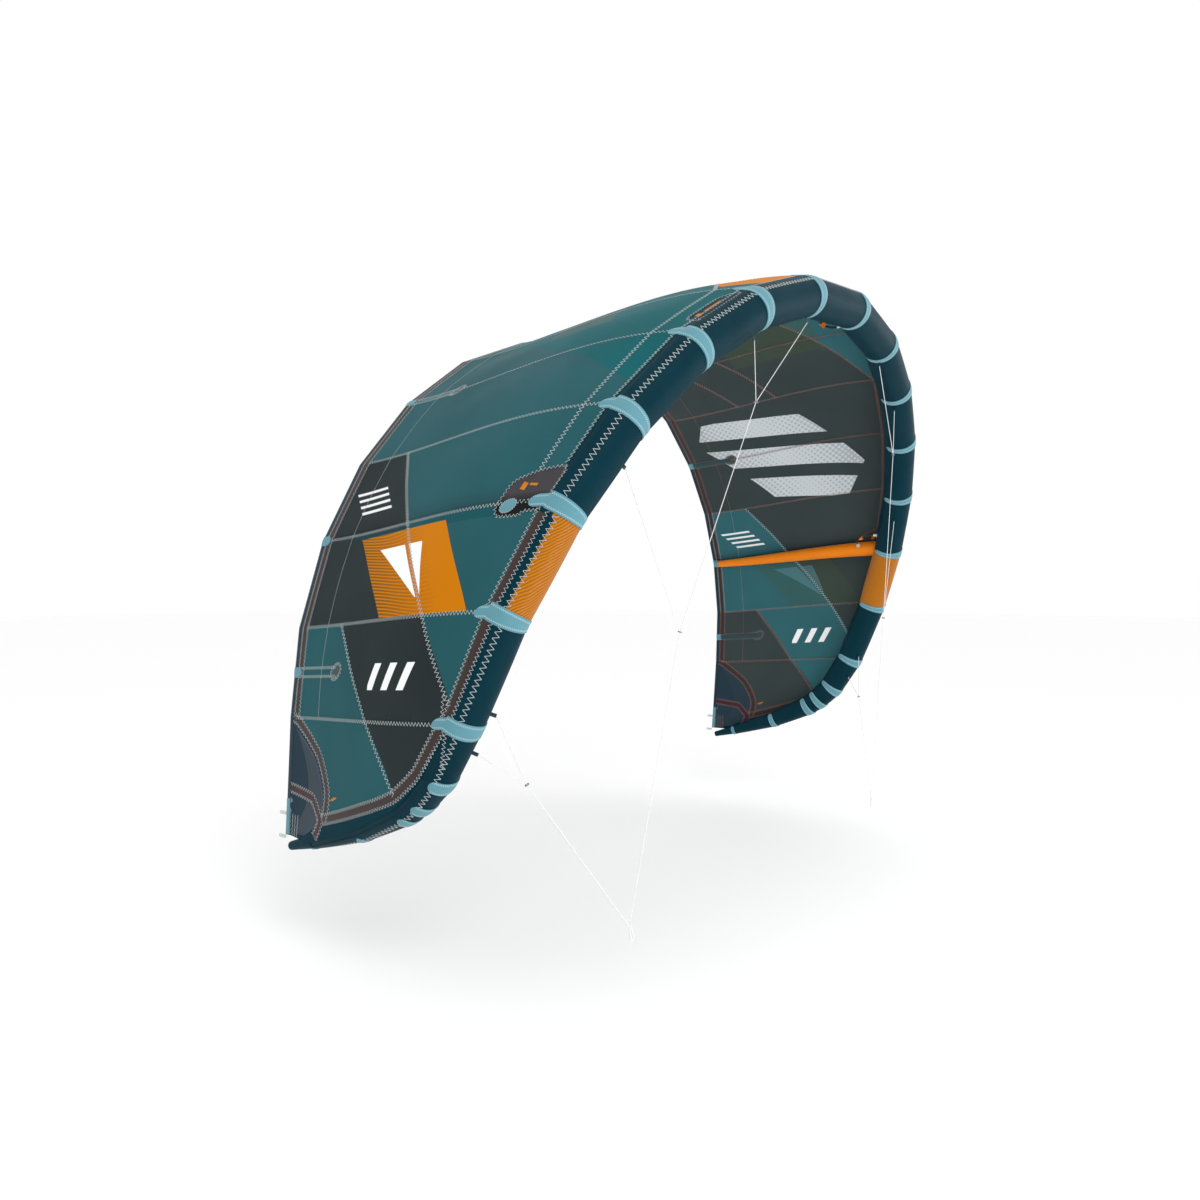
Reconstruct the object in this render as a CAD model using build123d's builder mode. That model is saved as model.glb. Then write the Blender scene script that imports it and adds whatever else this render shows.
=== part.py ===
from build123d import *
import os
from math import cos, pi, radians, sin

os.makedirs("parts", exist_ok=True)

# Inflatable kitesurf kite, 9 square metres, in millimetres.
# Origin: centre of the leading edge tube in the middle of the kite.
# +X runs along the span to the right wing, +Y back along the chord, +Z up.

# Driving dimensions: leading edge curve
half_width = 1825          # centre to shoulder of the tube's axis, along X
arch_height = 1737         # how far the shoulder hangs below the centre
shoulder_sweep = 681       # how far the shoulder lies behind the centre
sweep_power = 1.92         # the sweep grows with this power of the way out
spacing_power = 0.93       # bands stand a little wider apart near the centre
tip_inset = 29             # the tip lies this much inside the shoulder
tip_setback = 1034         # tip behind the shoulder
tip_drop = 605             # tip below the shoulder
tip_angle = 15.5           # slope of the tube where it ends, below level
shoulder_run = 355         # how far the tube keeps the shoulder's direction
tip_run = 709              # how far the tube keeps the tip's direction

# Driving dimensions: trailing edge curve
trailing_radius = 1800     # front view of the trailing edge, a quarter circle and a straight leg
trailing_rise = 58         # its middle stands this much above the tube's axis
centre_chord = 1530        # tube axis to trailing edge in the middle
trailing_sweep = 185       # how much further back the tip lies than the middle
trailing_power = 1.3
trailing_spacing = 0.87
shoulder_turn = 92         # degrees of the circle used up at the shoulder

# Driving dimensions: tubes, fabric and lines
tube_radius = 82
tube_tip_radius = 15
taper_power = 8            # the tube keeps its size and tapers late
sleeve_wall = 2.5
bladder_gap = 0.5
bladder_wall = 1.5
canopy_thickness = 4
canopy_gap = 0.3           # canopy above the tube that it is sewn to
camber_share = 0.04        # crown of the canopy as a share of the chord
hem_width = 26
hem_thickness = 6
strut_radius = 48
strut_tip_radius = 21
strut_gap = 0.6
strut_cap_length = 34
band_width = 42
band_thickness = 1.6
line_diameter = 3
hose_radius = 5
hose_wall = 1.5
valve_bore = 8

# Bands number outwards from the middle: 0 to 7 on the arch, then five on the wing tip.
arch_bands = 7
tip_places = (0.24, 0.38, 0.47, 0.70, 0.90)
band_places = [*range(arch_bands + 1), *[arch_bands + place for place in tip_places]]
end_place = arch_bands + 1
strut_place = 5
strut_places = {"left": -strut_place, "centre": 0, "right": strut_place}

tip_x = half_width - tip_inset
tip_y = shoulder_sweep + tip_setback
tip_z = -arch_height - tip_drop
shoulder_arc = trailing_radius * radians(shoulder_turn)
quarter_arc = trailing_radius * pi / 2
trailing_arc = quarter_arc + trailing_rise - trailing_radius - tip_z


# Edge curves ------------------------------------------------------------

def leading_curve(place):
    """Tube axis: a quarter ellipse swept back, then a Bezier curve round the wing tip."""
    if place <= arch_bands:
        way = place / arch_bands
        angle = pi / 2 * way**spacing_power
        sweep = shoulder_sweep * way ** (spacing_power * sweep_power)
        return Vector(half_width * sin(angle), sweep, -arch_height * (1 - cos(angle)))
    t = place - arch_bands
    shoulder = Vector(half_width, shoulder_sweep, -arch_height)
    leaving = Vector(0, shoulder_sweep * sweep_power / (pi / 2), -arch_height).normalized()
    tip = Vector(tip_x, tip_y, tip_z)
    arriving = Vector(0, cos(radians(tip_angle)), -sin(radians(tip_angle)))
    first = shoulder + leaving * shoulder_run
    second = tip - arriving * tip_run
    return (
        shoulder * (1 - t) ** 3
        + first * (3 * t * (1 - t) ** 2)
        + second * (3 * t**2 * (1 - t))
        + tip * t**3
    )


def trailing_curve(place):
    """Trailing edge: a quarter circle from the middle, then straight down to the tip."""
    if place <= arch_bands:
        arc = shoulder_arc * (place / arch_bands) ** trailing_spacing
    else:
        arc = shoulder_arc + (trailing_arc - shoulder_arc) * (place - arch_bands)
    angle = min(arc, quarter_arc) / trailing_radius
    drop = trailing_radius * (1 - cos(angle)) + max(0, arc - quarter_arc)
    back = centre_chord + trailing_sweep * (arc / trailing_arc) ** trailing_power
    return Vector(trailing_radius * sin(angle), back, trailing_rise - drop)


def between_bands(curve, place):
    """A point on the straight runs that join a curve's points at the bands."""
    stops = [*band_places, end_place]
    distance = abs(place)
    for inner, outer in zip(stops, stops[1:]):
        if distance <= outer:
            share = (distance - inner) / (outer - inner)
            point = curve(inner) * (1 - share) + curve(outer) * share
            break
    return point if place >= 0 else Vector(-point.X, point.Y, point.Z)


def axis_point(place):
    return between_bands(leading_curve, place)


def hem_point(place):
    return between_bands(trailing_curve, place)


def axis_direction(place, step=0.02):
    """Direction of the tube towards the right wing, halved between runs at a band."""
    high = min(place + step, end_place)
    low = max(place - step, -end_place)
    return (axis_point(high) - axis_point(low)).normalized()


def radius_at(place):
    if abs(place) <= arch_bands:
        way = 0.7 * abs(place) / arch_bands
    else:
        way = 0.7 + 0.3 * (abs(place) - arch_bands)
    return tube_tip_radius + (tube_radius - tube_tip_radius) * (1 - way**taper_power)


def chord_at(place):
    return (hem_point(place) - axis_point(place)).length


def chord_plane(place):
    """Plane of a canopy section: x along the chord, y out of the canopy, z along the span."""
    back = hem_point(place) - axis_point(place)
    step = 0.05
    high = min(place + step, end_place)
    low = max(place - step, -end_place)
    span = axis_point(high) - axis_point(low) + hem_point(high) - hem_point(low)
    along = span - back * (span.dot(back) / back.length**2)
    return Plane(origin=axis_point(place), x_dir=back, z_dir=along)


def tube_plane(place):
    """Plane across the tube: x roughly along the chord."""
    along = axis_direction(place)
    back = hem_point(place) - axis_point(place)
    return Plane(origin=axis_point(place), x_dir=back - along * back.dot(along), z_dir=along)


def canopy_height(place, share):
    """Height of the canopy's outer face over the straight chord line."""
    start = radius_at(place) + canopy_gap + canopy_thickness
    crown = camber_share * chord_at(place) * 27 / 4
    return (start + crown * share) * (1 - share) ** 2


# Profiles ---------------------------------------------------------------

def canopy_profile(place, first, last, lift, thickness):
    """Sketch of a strip of canopy between two shares of the chord."""
    chord = chord_at(place)
    steps = 6
    shares = [first + (last - first) * i / steps for i in range(steps + 1)]
    outer = [(share * chord, canopy_height(place, share) + lift) for share in shares]
    inner = [(x, y - thickness) for x, y in outer]
    with BuildSketch(chord_plane(place)) as profile:
        with BuildLine():
            Spline(*outer)
            Spline(*inner)
            Line(outer[0], inner[0])
            Line(outer[-1], inner[-1])
        make_face()
    return profile.sketch


def hem_share(place):
    return 1 - hem_width / chord_at(place)


def disc(plane, radius):
    with BuildSketch(plane) as face:
        Circle(radius)
    return face.sketch


def bar_end(plane, width, height):
    with BuildSketch(plane) as face:
        Rectangle(width, height)
    return face.sketch


def tube_discs(places, inset):
    """Rounds of the tube at its bands, set in from the sleeve's outer face."""
    return [disc(tube_plane(place), radius_at(place) - inset) for place in places]


def hollow_tube(places, inset, wall):
    with BuildPart() as tube:
        loft(tube_discs(places, inset), ruled=True)
        loft(tube_discs(places, inset + wall), ruled=True, mode=Mode.SUBTRACT)
    return tube.part


def mirrored(shape):
    with BuildPart() as other:
        add(shape)
        mirror(about=Plane.YZ, mode=Mode.REPLACE)
    return other.part


def save(shape, name):
    shape.label = name
    export_step(shape, f"parts/{name}.step")


def save_pair(shape, name):
    save(shape, f"{name}_right")
    save(mirrored(shape), f"{name}_left")


# Inflate valve, seen as a stack along its own z, standing out of the tube ----------

valve_place = -2.55
valve_angle = -12          # degrees inwards of the chord line, on the back of the tube
valve_barrel_radius = 12
valve_barrel_height = 18
valve_chamber_radius = 14
valve_chamber_depth = 20
valve_seat_depth = 4
valve_hole_rise = 6        # the hole is cut to past the sleeve's outside
valve_flange_radius = 24
valve_flange_depth = 2.3
valve_flange_rise = 1.2
flap_radius = 10
flap_thickness = 1.4
flap_gap = 0.3
cap_radius = 11.5
cap_thickness = 3
cap_plug_radius = 7
cap_plug_length = 3.6
cap_room = 1               # between the cap's rim and the ears it swings past
cap_open_angle = 110
cap_hinge_reach = 15.5
ear_inner_edge = 5.6       # the ears run from here to past the pin
ear_outer_edge = 18.3
ear_width = 2.5
ear_depth = 8              # down beside the barrel
hinge_pin_radius = 1.2
pin_sink = 1.5             # how far each end of the pin sits in its ear
hinge_knuckle_radius = 2.4
hinge_gap = 0.05
side_gap = 0.3
knuckle_width = 6

valve_tube = tube_plane(valve_place)
valve_out = valve_tube.x_dir * cos(radians(valve_angle)) + valve_tube.y_dir * sin(radians(valve_angle))
valve_plane = Plane(
    origin=valve_tube.origin + valve_out * radius_at(valve_place),
    x_dir=valve_tube.z_dir.cross(valve_out) * -1,
    z_dir=valve_out,
)
hinge_height = valve_barrel_height + hinge_knuckle_radius + side_gap


def on_valve(depth):
    return valve_plane.offset(depth)


with BuildPart() as valve_hole:
    with BuildSketch(on_valve(-valve_chamber_depth - 1)):
        Circle(valve_chamber_radius + 1)
    extrude(amount=valve_chamber_depth + valve_hole_rise)

with BuildPart() as valve_body:
    with BuildSketch(on_valve(-valve_flange_depth)):
        Circle(valve_flange_radius)
    extrude(amount=valve_flange_depth + valve_flange_rise)
    with BuildSketch(on_valve(-valve_chamber_depth)):
        Circle(valve_chamber_radius)
    extrude(amount=valve_chamber_depth)
    with BuildSketch(on_valve(0)):
        Circle(valve_barrel_radius)
    extrude(amount=valve_barrel_height)
    # two ears that hold the cap's pin
    with BuildSketch(on_valve(valve_barrel_height - ear_depth)):
        for side in (-1, 1):
            middle = (ear_inner_edge + ear_outer_edge) / 2
            with Locations((middle, side * (knuckle_width + ear_width + 2 * side_gap) / 2)):
                Rectangle(ear_outer_edge - ear_inner_edge, ear_width)
    extrude(amount=hinge_height - valve_barrel_height + ear_depth + hinge_knuckle_radius)
    with BuildSketch(on_valve(-valve_seat_depth)):
        Circle(valve_bore)
    extrude(amount=valve_barrel_height + valve_seat_depth, mode=Mode.SUBTRACT)
    with BuildSketch(on_valve(-valve_chamber_depth)):
        Circle(valve_barrel_radius)
    extrude(amount=valve_chamber_depth - valve_seat_depth, mode=Mode.SUBTRACT)
    # room for the cap above the barrel between the ears
    with BuildSketch(on_valve(valve_barrel_height)):
        Circle(cap_radius + cap_room)
    extrude(amount=hinge_height, mode=Mode.SUBTRACT)
    pin_plane = Plane(
        origin=valve_plane.from_local_coords(Vector(cap_hinge_reach, 0, hinge_height)),
        x_dir=valve_plane.x_dir,
        z_dir=valve_plane.y_dir,
    )
    with BuildSketch(pin_plane.offset(-knuckle_width / 2 - side_gap - pin_sink)):
        Circle(hinge_pin_radius)
    extrude(amount=knuckle_width + 2 * side_gap + 2 * pin_sink)

with BuildPart() as valve_cap_closed:
    with BuildSketch(on_valve(valve_barrel_height + side_gap)):
        Circle(cap_radius)
        with Locations((cap_radius, 0)):
            Rectangle(2 * (cap_hinge_reach - cap_radius), knuckle_width)
    extrude(amount=cap_thickness)
    with BuildSketch(on_valve(valve_barrel_height + side_gap - cap_plug_length)):
        Circle(cap_plug_radius)
    extrude(amount=cap_plug_length)
    with BuildSketch(pin_plane.offset(-knuckle_width / 2)):
        Circle(hinge_knuckle_radius)
    extrude(amount=knuckle_width)
    with BuildSketch(pin_plane.offset(-knuckle_width)):
        Circle(hinge_pin_radius + hinge_gap)
    extrude(amount=2 * knuckle_width, mode=Mode.SUBTRACT)

cap_axis = Axis(origin=pin_plane.origin, direction=pin_plane.z_dir)
valve_cap = valve_cap_closed.part.rotate(cap_axis, cap_open_angle)

flap_pivot = valve_plane.from_local_coords(Vector(flap_radius, 0, -valve_seat_depth - flap_gap))
with BuildPart() as valve_flap:
    with BuildSketch(on_valve(-valve_seat_depth - flap_gap - flap_thickness)):
        Circle(flap_radius)
    extrude(amount=flap_thickness)

save(valve_body.part, "inflate_valve_body")
save(valve_cap, "inflate_valve_cap")
save(valve_flap.part, "inflate_valve_flap")

# Leading edge: sleeve panels, bladder, bands and tip ends -----------------------

sleeve_groups = {
    "leading_edge_centre_sleeve": band_places[0:4],
    "leading_edge_middle_sleeve": band_places[3:6],
    "leading_edge_accent_sleeve": band_places[5:7],
    "leading_edge_shoulder_sleeve": band_places[6:9],
    "leading_edge_tip_sleeve": band_places[8:13],
}
for sleeve_name, places in sleeve_groups.items():
    sleeve = hollow_tube(places, 0, sleeve_wall)
    save(sleeve, f"{sleeve_name}_right")
    with BuildPart() as other_sleeve:
        add(mirrored(sleeve))
        if sleeve_name == "leading_edge_centre_sleeve":
            add(valve_hole.part, mode=Mode.SUBTRACT)
    save(other_sleeve.part, f"{sleeve_name}_left")

with BuildPart() as bladder_half:
    for places in sleeve_groups.values():
        add(hollow_tube(places, sleeve_wall + bladder_gap, bladder_wall))
with BuildPart() as bladder:
    add(bladder_half.part)
    add(mirrored(bladder_half.part))
    add(valve_hole.part, mode=Mode.SUBTRACT)
save(bladder.part, "leading_edge_bladder")


def seam_band(place):
    """Cover of a seam in the tube; open where the canopy's front edge lies."""
    plane = tube_plane(place)
    reach = radius_at(place) + band_thickness
    width = band_width * min(1, radius_at(place) / tube_radius + 0.25)
    with BuildPart() as ring:
        with BuildSketch(plane.offset(-width / 2)):
            Circle(reach)
            Circle(radius_at(place), mode=Mode.SUBTRACT)
            with Locations((reach - 3, reach)):
                Rectangle(2 * reach, 2 * reach, mode=Mode.SUBTRACT)
        extrude(amount=width)
    return ring.part


band_parts = [seam_band(place) for place in band_places]
band_parts += [mirrored(band) for band in band_parts[1:]]
save(Compound(band_parts), "seam_bands")

with BuildPart() as tip_end:
    loft(tube_discs([band_places[-1], end_place - 0.02], 0), ruled=True)
save(Compound([tip_end.part, mirrored(tip_end.part)]), "leading_edge_tip_ends")

# Canopy panels, hem and wing tip patches ------------------------------------------

canopy_groups = {
    "canopy_centre_panel": [0, 1],
    "canopy_inner_panel": [1, 2, 3],
    "canopy_middle_panel": [3, 4, 5],
    "canopy_outer_panel": [5, 6, 7],
    "canopy_tip_panel": band_places[7:13],
}
for canopy_name, places in canopy_groups.items():
    profiles = [canopy_profile(place, 0, hem_share(place), 0, canopy_thickness) for place in places]
    with BuildPart() as panel:
        loft(profiles, ruled=True)
    save_pair(panel.part, canopy_name)

hem_lift = (hem_thickness - canopy_thickness) / 2
hem_profiles = [
    canopy_profile(place, hem_share(place), 1, hem_lift, hem_thickness) for place in band_places
]
with BuildPart() as hem_half:
    loft(hem_profiles, ruled=True)
with BuildPart() as hem:
    add(hem_half.part)
    add(mirrored(hem_half.part))
save(hem.part, "trailing_edge_hem")

patch_thickness = 1.2
patch_shares = (0.74, 0.70, 0.66, 0.60)
patch_lift = canopy_gap + patch_thickness
patch_profiles = [
    canopy_profile(place, share, hem_share(place) - 0.01, patch_lift, patch_thickness)
    for place, share in zip(band_places[7:11], patch_shares)
]
with BuildPart() as tip_patch:
    loft(patch_profiles, ruled=True)
save_pair(tip_patch.part, "wingtip_patch")

# Struts -----------------------------------------------------------------------------


def strut_radius_at(share):
    return strut_radius + (strut_tip_radius - strut_radius) * share**1.3


def strut_centre(place, share):
    height = canopy_height(place, share) - canopy_thickness - strut_gap - strut_radius_at(share)
    return chord_plane(place).from_local_coords(Vector(share * chord_at(place), height, 0))


def strut_discs(place, first, last, inset):
    plane = chord_plane(place)
    steps = 5
    discs = []
    for i in range(steps + 1):
        share = first + (last - first) * i / steps
        across = Plane(origin=strut_centre(place, share), x_dir=plane.z_dir, z_dir=plane.x_dir)
        discs.append(disc(across, strut_radius_at(share) - inset))
    return discs


strut_bladder_start = 20   # gap behind the leading edge tube
strut_bladders = {}
strut_caps = []
for side, place in strut_places.items():
    chord = chord_at(place)
    sleeve_end = 1 - (hem_width + strut_cap_length) / chord
    cap_end = 1 - (hem_width + 2) / chord
    with BuildPart() as saddle:
        loft(tube_discs([place - 1, place, place + 1], -canopy_gap), ruled=True)
    with BuildPart() as strut_sleeve:
        loft(strut_discs(place, 0.02, sleeve_end, 0))
        loft(strut_discs(place, 0.0, sleeve_end + 0.001, sleeve_wall), mode=Mode.SUBTRACT)
        add(saddle.part, mode=Mode.SUBTRACT)
    sleeve_solids = strut_sleeve.part.solids().sort_by(SortBy.VOLUME)
    save(sleeve_solids[-1], f"strut_sleeve_{side}")
    with BuildPart() as strut_bladder:
        bladder_start = (radius_at(place) + strut_bladder_start) / chord
        inset = sleeve_wall + bladder_gap
        loft(strut_discs(place, bladder_start, sleeve_end - 0.004, inset))
        inside = strut_discs(place, bladder_start - 0.001, sleeve_end - 0.003, inset + bladder_wall)
        loft(inside, mode=Mode.SUBTRACT)
    save(strut_bladder.part, f"strut_bladder_{side}")
    with BuildPart() as strut_cap:
        loft(strut_discs(place, sleeve_end, cap_end, 0))
    strut_caps.append(strut_cap.part)
save(Compound(strut_caps), "strut_end_caps")

# Mini battens in their pockets, under the canopy at the trailing edge ---------------

batten_places = (-6.5, -3, 3, 6.5)
pocket_length = 290
pocket_width = 44
pocket_thickness = 5
cavity_width = 14
cavity_thickness = 3
batten_width = 12
batten_thickness = 2
batten_inset = 8           # the rod stops this far short of both pocket ends
pocket_gap = 3.4           # clears the valley between two panels
batten_parts = []
pocket_parts = []


def bar_sections(place, start, stop, width, thickness):
    """Sections of a flat bar that follows the canopy's inner face to near the trailing edge."""
    plane = chord_plane(place)
    chord = chord_at(place)
    steps = 4
    ends = []
    for i in range(steps + 1):
        share = 1 - (start + (stop - start) * i / steps) / chord
        depth = canopy_thickness + pocket_gap + pocket_thickness / 2
        centre = Vector(share * chord, canopy_height(place, share) - depth, 0)
        across = Plane(origin=plane.from_local_coords(centre), x_dir=plane.z_dir, z_dir=plane.x_dir)
        ends.append(bar_end(across, width, thickness))
    return ends


for place in batten_places:
    front = hem_width + pocket_length
    back = hem_width + 4
    with BuildPart() as pocket:
        loft(bar_sections(place, front, back, pocket_width, pocket_thickness), ruled=True)
        cavity = bar_sections(place, front - 4, back + 4, cavity_width, cavity_thickness)
        loft(cavity, ruled=True, mode=Mode.SUBTRACT)
    pocket_parts.append(pocket.part)
    with BuildPart() as batten:
        rod = bar_sections(place, front - batten_inset, back + batten_inset, batten_width, batten_thickness)
        loft(rod, ruled=True)
    batten_parts.append(batten.part)
save(Compound(pocket_parts), "batten_pockets")
save(Compound(batten_parts), "mini_battens")

# One-pump hoses: leading edge fitting, hose with a clip, strut fitting -----------------

fitting_radius = 7.5
fitting_flange = 13
fitting_length = 22
fitting_sink = 2
fitting_flange_rise = 1.5
hose_offset = 0.24         # share of a panel from the strut to the leading edge fitting
strut_fitting_back = 112   # behind the tube's surface
first_corner_run = 15      # straight hose given up to each bend
second_corner_run = 11
first_reach = 34           # how far the hose keeps each fitting's direction
second_reach = 26
clip_length = 20
clip_width = 16
clip_height = 15
clip_gap = 0.2
clip_ear_length = 6
clip_ear_width = 3
clip_ear_height = 5
clip_pin_sink = 2
lever_length = 24
lever_width = 6
lever_thickness = 3
lever_pin_radius = 1.2
lever_eye_radius = 2.1
lever_pin_height = 2.4     # above the clip's top face
hose_parts = []
fitting_parts = []
clip_parts = []


def fitting(foot, out, side_dir):
    """Flanged barb, with its foot sunk a little in the sleeve."""
    plane = Plane(origin=foot, x_dir=side_dir, z_dir=out)
    with BuildPart() as barb:
        with BuildSketch(plane.offset(-fitting_sink)):
            Circle(fitting_flange)
        extrude(amount=fitting_sink + fitting_flange_rise)
        with BuildSketch(plane):
            Circle(fitting_radius)
        extrude(amount=fitting_length)
    return barb.part


for side, place in strut_places.items():
    towards = -1 if place > 0 else 1
    hose_place = place + towards * hose_offset
    across = tube_plane(hose_place)
    out = across.x_dir * cos(radians(-14)) + across.y_dir * sin(radians(-14))
    tube_foot = across.origin + out * radius_at(hose_place)
    fitting_parts.append(fitting(tube_foot, out, across.z_dir))
    plane = chord_plane(place)
    share = (radius_at(place) + strut_fitting_back) / chord_at(place)
    aside = (plane.z_dir * towards * 0.8 - plane.y_dir * 0.6).normalized()
    strut_foot = strut_centre(place, share) + aside * strut_radius_at(share)
    fitting_parts.append(fitting(strut_foot, aside, plane.x_dir))
    start = tube_foot + out * fitting_length
    finish = strut_foot + aside * fitting_length
    first = start + out * first_reach
    second = finish + aside * second_reach
    first_turn = radians((first - start).get_angle(second - first))
    second_turn = radians((second - first).get_angle(finish - second))
    bends = (first_corner_run * cos(first_turn / 2) / abs(sin(first_turn / 2)),
             second_corner_run * cos(second_turn / 2) / abs(sin(second_turn / 2)))
    print("hose", side, "bend radii", [round(bend, 1) for bend in bends])
    with BuildPart() as hose:
        with BuildLine() as route:
            FilletPolyline(start, first, second, finish, radius=list(bends))
        with BuildSketch(Plane(origin=start, z_dir=out)):
            Circle(hose_radius)
            Circle(hose_radius - hose_wall, mode=Mode.SUBTRACT)
        sweep()
    hose_parts.append(hose.part)
    run = (second - first).normalized()
    middle = first + (second - first) * 0.5
    up = (plane.y_dir * -1 - run * run.dot(plane.y_dir * -1)).normalized()
    clip_plane = Plane(origin=middle, x_dir=run, z_dir=up)
    top = clip_height / 2
    with BuildPart() as clip:
        with BuildSketch(clip_plane.offset(-clip_height / 2)):
            Rectangle(clip_length, clip_width)
        extrude(amount=clip_height)
        with BuildSketch(Plane(origin=middle, x_dir=up, z_dir=run).offset(-clip_length)):
            Circle(hose_radius + clip_gap)
        extrude(amount=2 * clip_length, mode=Mode.SUBTRACT)
        for ear in (-1, 1):
            with BuildSketch(clip_plane.offset(top)):
                aside_of_lever = ear * (lever_width / 2 + side_gap + clip_ear_width / 2)
                with Locations(((clip_ear_length - clip_length) / 2, aside_of_lever)):
                    Rectangle(clip_ear_length, clip_ear_width)
            extrude(amount=clip_ear_height)
    pin_spot = Vector((clip_ear_length - clip_length) / 2, 0, top + lever_pin_height)
    lever_pin = clip_plane.from_local_coords(pin_spot)
    pin_axis_plane = Plane(origin=lever_pin, x_dir=clip_plane.x_dir, z_dir=clip_plane.y_dir)
    with BuildPart() as clip_with_pin:
        add(clip.part)
        with BuildSketch(pin_axis_plane.offset(-lever_width / 2 - side_gap - clip_pin_sink)):
            Circle(lever_pin_radius)
        extrude(amount=lever_width + 2 * side_gap + 2 * clip_pin_sink)
    clip_parts.append(clip_with_pin.part)
    with BuildPart() as lever:
        with BuildSketch(pin_axis_plane.offset(-lever_width / 2)):
            Circle(lever_eye_radius)
            with Locations((lever_length / 2, 0)):
                Rectangle(lever_length, lever_thickness)
            Circle(lever_pin_radius + hinge_gap, mode=Mode.SUBTRACT)
        extrude(amount=lever_width)
    save(lever.part, f"clip_lever_{side}")
    print("lever", side, "pin", lever_pin, "axis", pin_axis_plane.z_dir)
save(Compound(hose_parts), "one_pump_hoses")
save(Compound(fitting_parts), "hose_fittings")
save(Compound(clip_parts), "hose_clips")

# Bridle: tabs on the tube, taut lines, rings where they meet, tow loops ----------------

inner_ring = Vector(828, 73, -555)
middle_ring = Vector(1143, 228, -1444)
outer_ring = Vector(1638, 552, -1969)
tow_point = Vector(1295, 352, -2523)
tab_places = {"a": 1.06, "b": 2.12, "c": 4.32, "d": 6.85, "e": 7.10}
tab_length = 22
tab_width = 14
tab_thickness = 3
ring_radius = 7
ring_thickness = 2
loop_length = 60
loop_width = 16
loop_cord = 3.6
line_radius = line_diameter / 2


def tab_direction(place, target):
    """Square out of the tube, as near as can be to the line's own direction."""
    along = axis_direction(place)
    reach = target - axis_point(place)
    return (reach - along * reach.dot(along)).normalized()


def tab_end(place, target):
    return axis_point(place) + tab_direction(place, target) * (radius_at(place) + tab_length)


def bridle_tab(place, target):
    out = tab_direction(place, target)
    foot = axis_point(place) + out * (radius_at(place) - 1)
    with BuildPart() as tab:
        with BuildSketch(Plane(origin=foot, x_dir=axis_direction(place), z_dir=out)):
            Rectangle(tab_width, tab_thickness)
        extrude(amount=tab_length + 1)
    return tab.part


def straight_line(start, finish):
    way = finish - start
    with BuildPart() as line:
        with BuildSketch(Plane(origin=start, z_dir=way)):
            Circle(line_radius)
        extrude(amount=way.length)
    return line.part


def bent_line(*points):
    """Taut line that turns at rings, each turn the size of the ring's hole."""
    with BuildPart() as line:
        with BuildLine():
            FilletPolyline(*points, radius=[ring_radius] * (len(points) - 2))
        with BuildSketch(Plane(origin=points[0], z_dir=points[1] - points[0])):
            Circle(line_radius)
        sweep()
    length = sum((b - a).length for a, b in zip(points, points[1:]))
    print("line turn radius", ring_radius, "length", round(length))
    return line.part


def ring(centre, through, towards):
    """Low-friction ring round a line, set off towards the line that pulls on it."""
    aside = (towards - through * towards.dot(through)).normalized()
    with BuildPart() as torus:
        with BuildSketch(Plane(origin=centre, x_dir=aside, z_dir=aside.cross(through))):
            with Locations((ring_radius, 0)):
                Circle(ring_thickness)
        revolve(axis=Axis(origin=centre, direction=through))
    return torus.part


tab_targets = {"a": inner_ring, "b": inner_ring, "c": middle_ring, "d": outer_ring, "e": outer_ring}
ends = {key: tab_end(tab_places[key], tab_targets[key]) for key in tab_places}
ring_edge = ring_radius + ring_thickness


def short_of(start, ring_centre):
    """Where a line that ends on a ring stops."""
    way = (start - ring_centre).normalized()
    return ring_centre + way * ring_edge


lines = {
    "bridle_main_line": bent_line(ends["b"], inner_ring, middle_ring, tow_point),
    "bridle_centre_line": straight_line(ends["a"], short_of(ends["a"], inner_ring)),
    "bridle_strut_line": straight_line(ends["c"], short_of(ends["c"], middle_ring)),
    "bridle_tip_line": bent_line(ends["d"], outer_ring, tow_point + Vector(4, 0, 1)),
    "bridle_shoulder_line": straight_line(ends["e"], short_of(ends["e"], outer_ring)),
}
for line_name, line_part in lines.items():
    save_pair(line_part, line_name)

rings = [
    ring(inner_ring, (middle_ring - ends["b"]).normalized(), ends["a"] - inner_ring),
    ring(middle_ring, (tow_point - inner_ring).normalized(), ends["c"] - middle_ring),
    ring(outer_ring, (tow_point - ends["d"]).normalized(), ends["e"] - outer_ring),
]
save(Compound(rings + [mirrored(part) for part in rings]), "bridle_rings")

tabs = [bridle_tab(tab_places[key], tab_targets[key]) for key in tab_places]
save(Compound(tabs + [mirrored(part) for part in tabs]), "bridle_tabs")

pull = Vector(-0.25, -0.1, -1).normalized()
loop_plane = Plane(origin=tow_point + pull * loop_length / 2, x_dir=pull, z_dir=Vector(0, 1, 0))
with BuildPart() as tow_loop:
    with BuildSketch(loop_plane.offset(-loop_cord / 2)):
        SlotOverall(loop_length, loop_width)
        SlotOverall(loop_length - 2 * loop_cord, loop_width - 2 * loop_cord, mode=Mode.SUBTRACT)
    extrude(amount=loop_cord)
save(Compound([tow_loop.part, mirrored(tow_loop.part)]), "tow_loops")

# Rear line tabs at the wing tips ----------------------------------------------------

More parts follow.
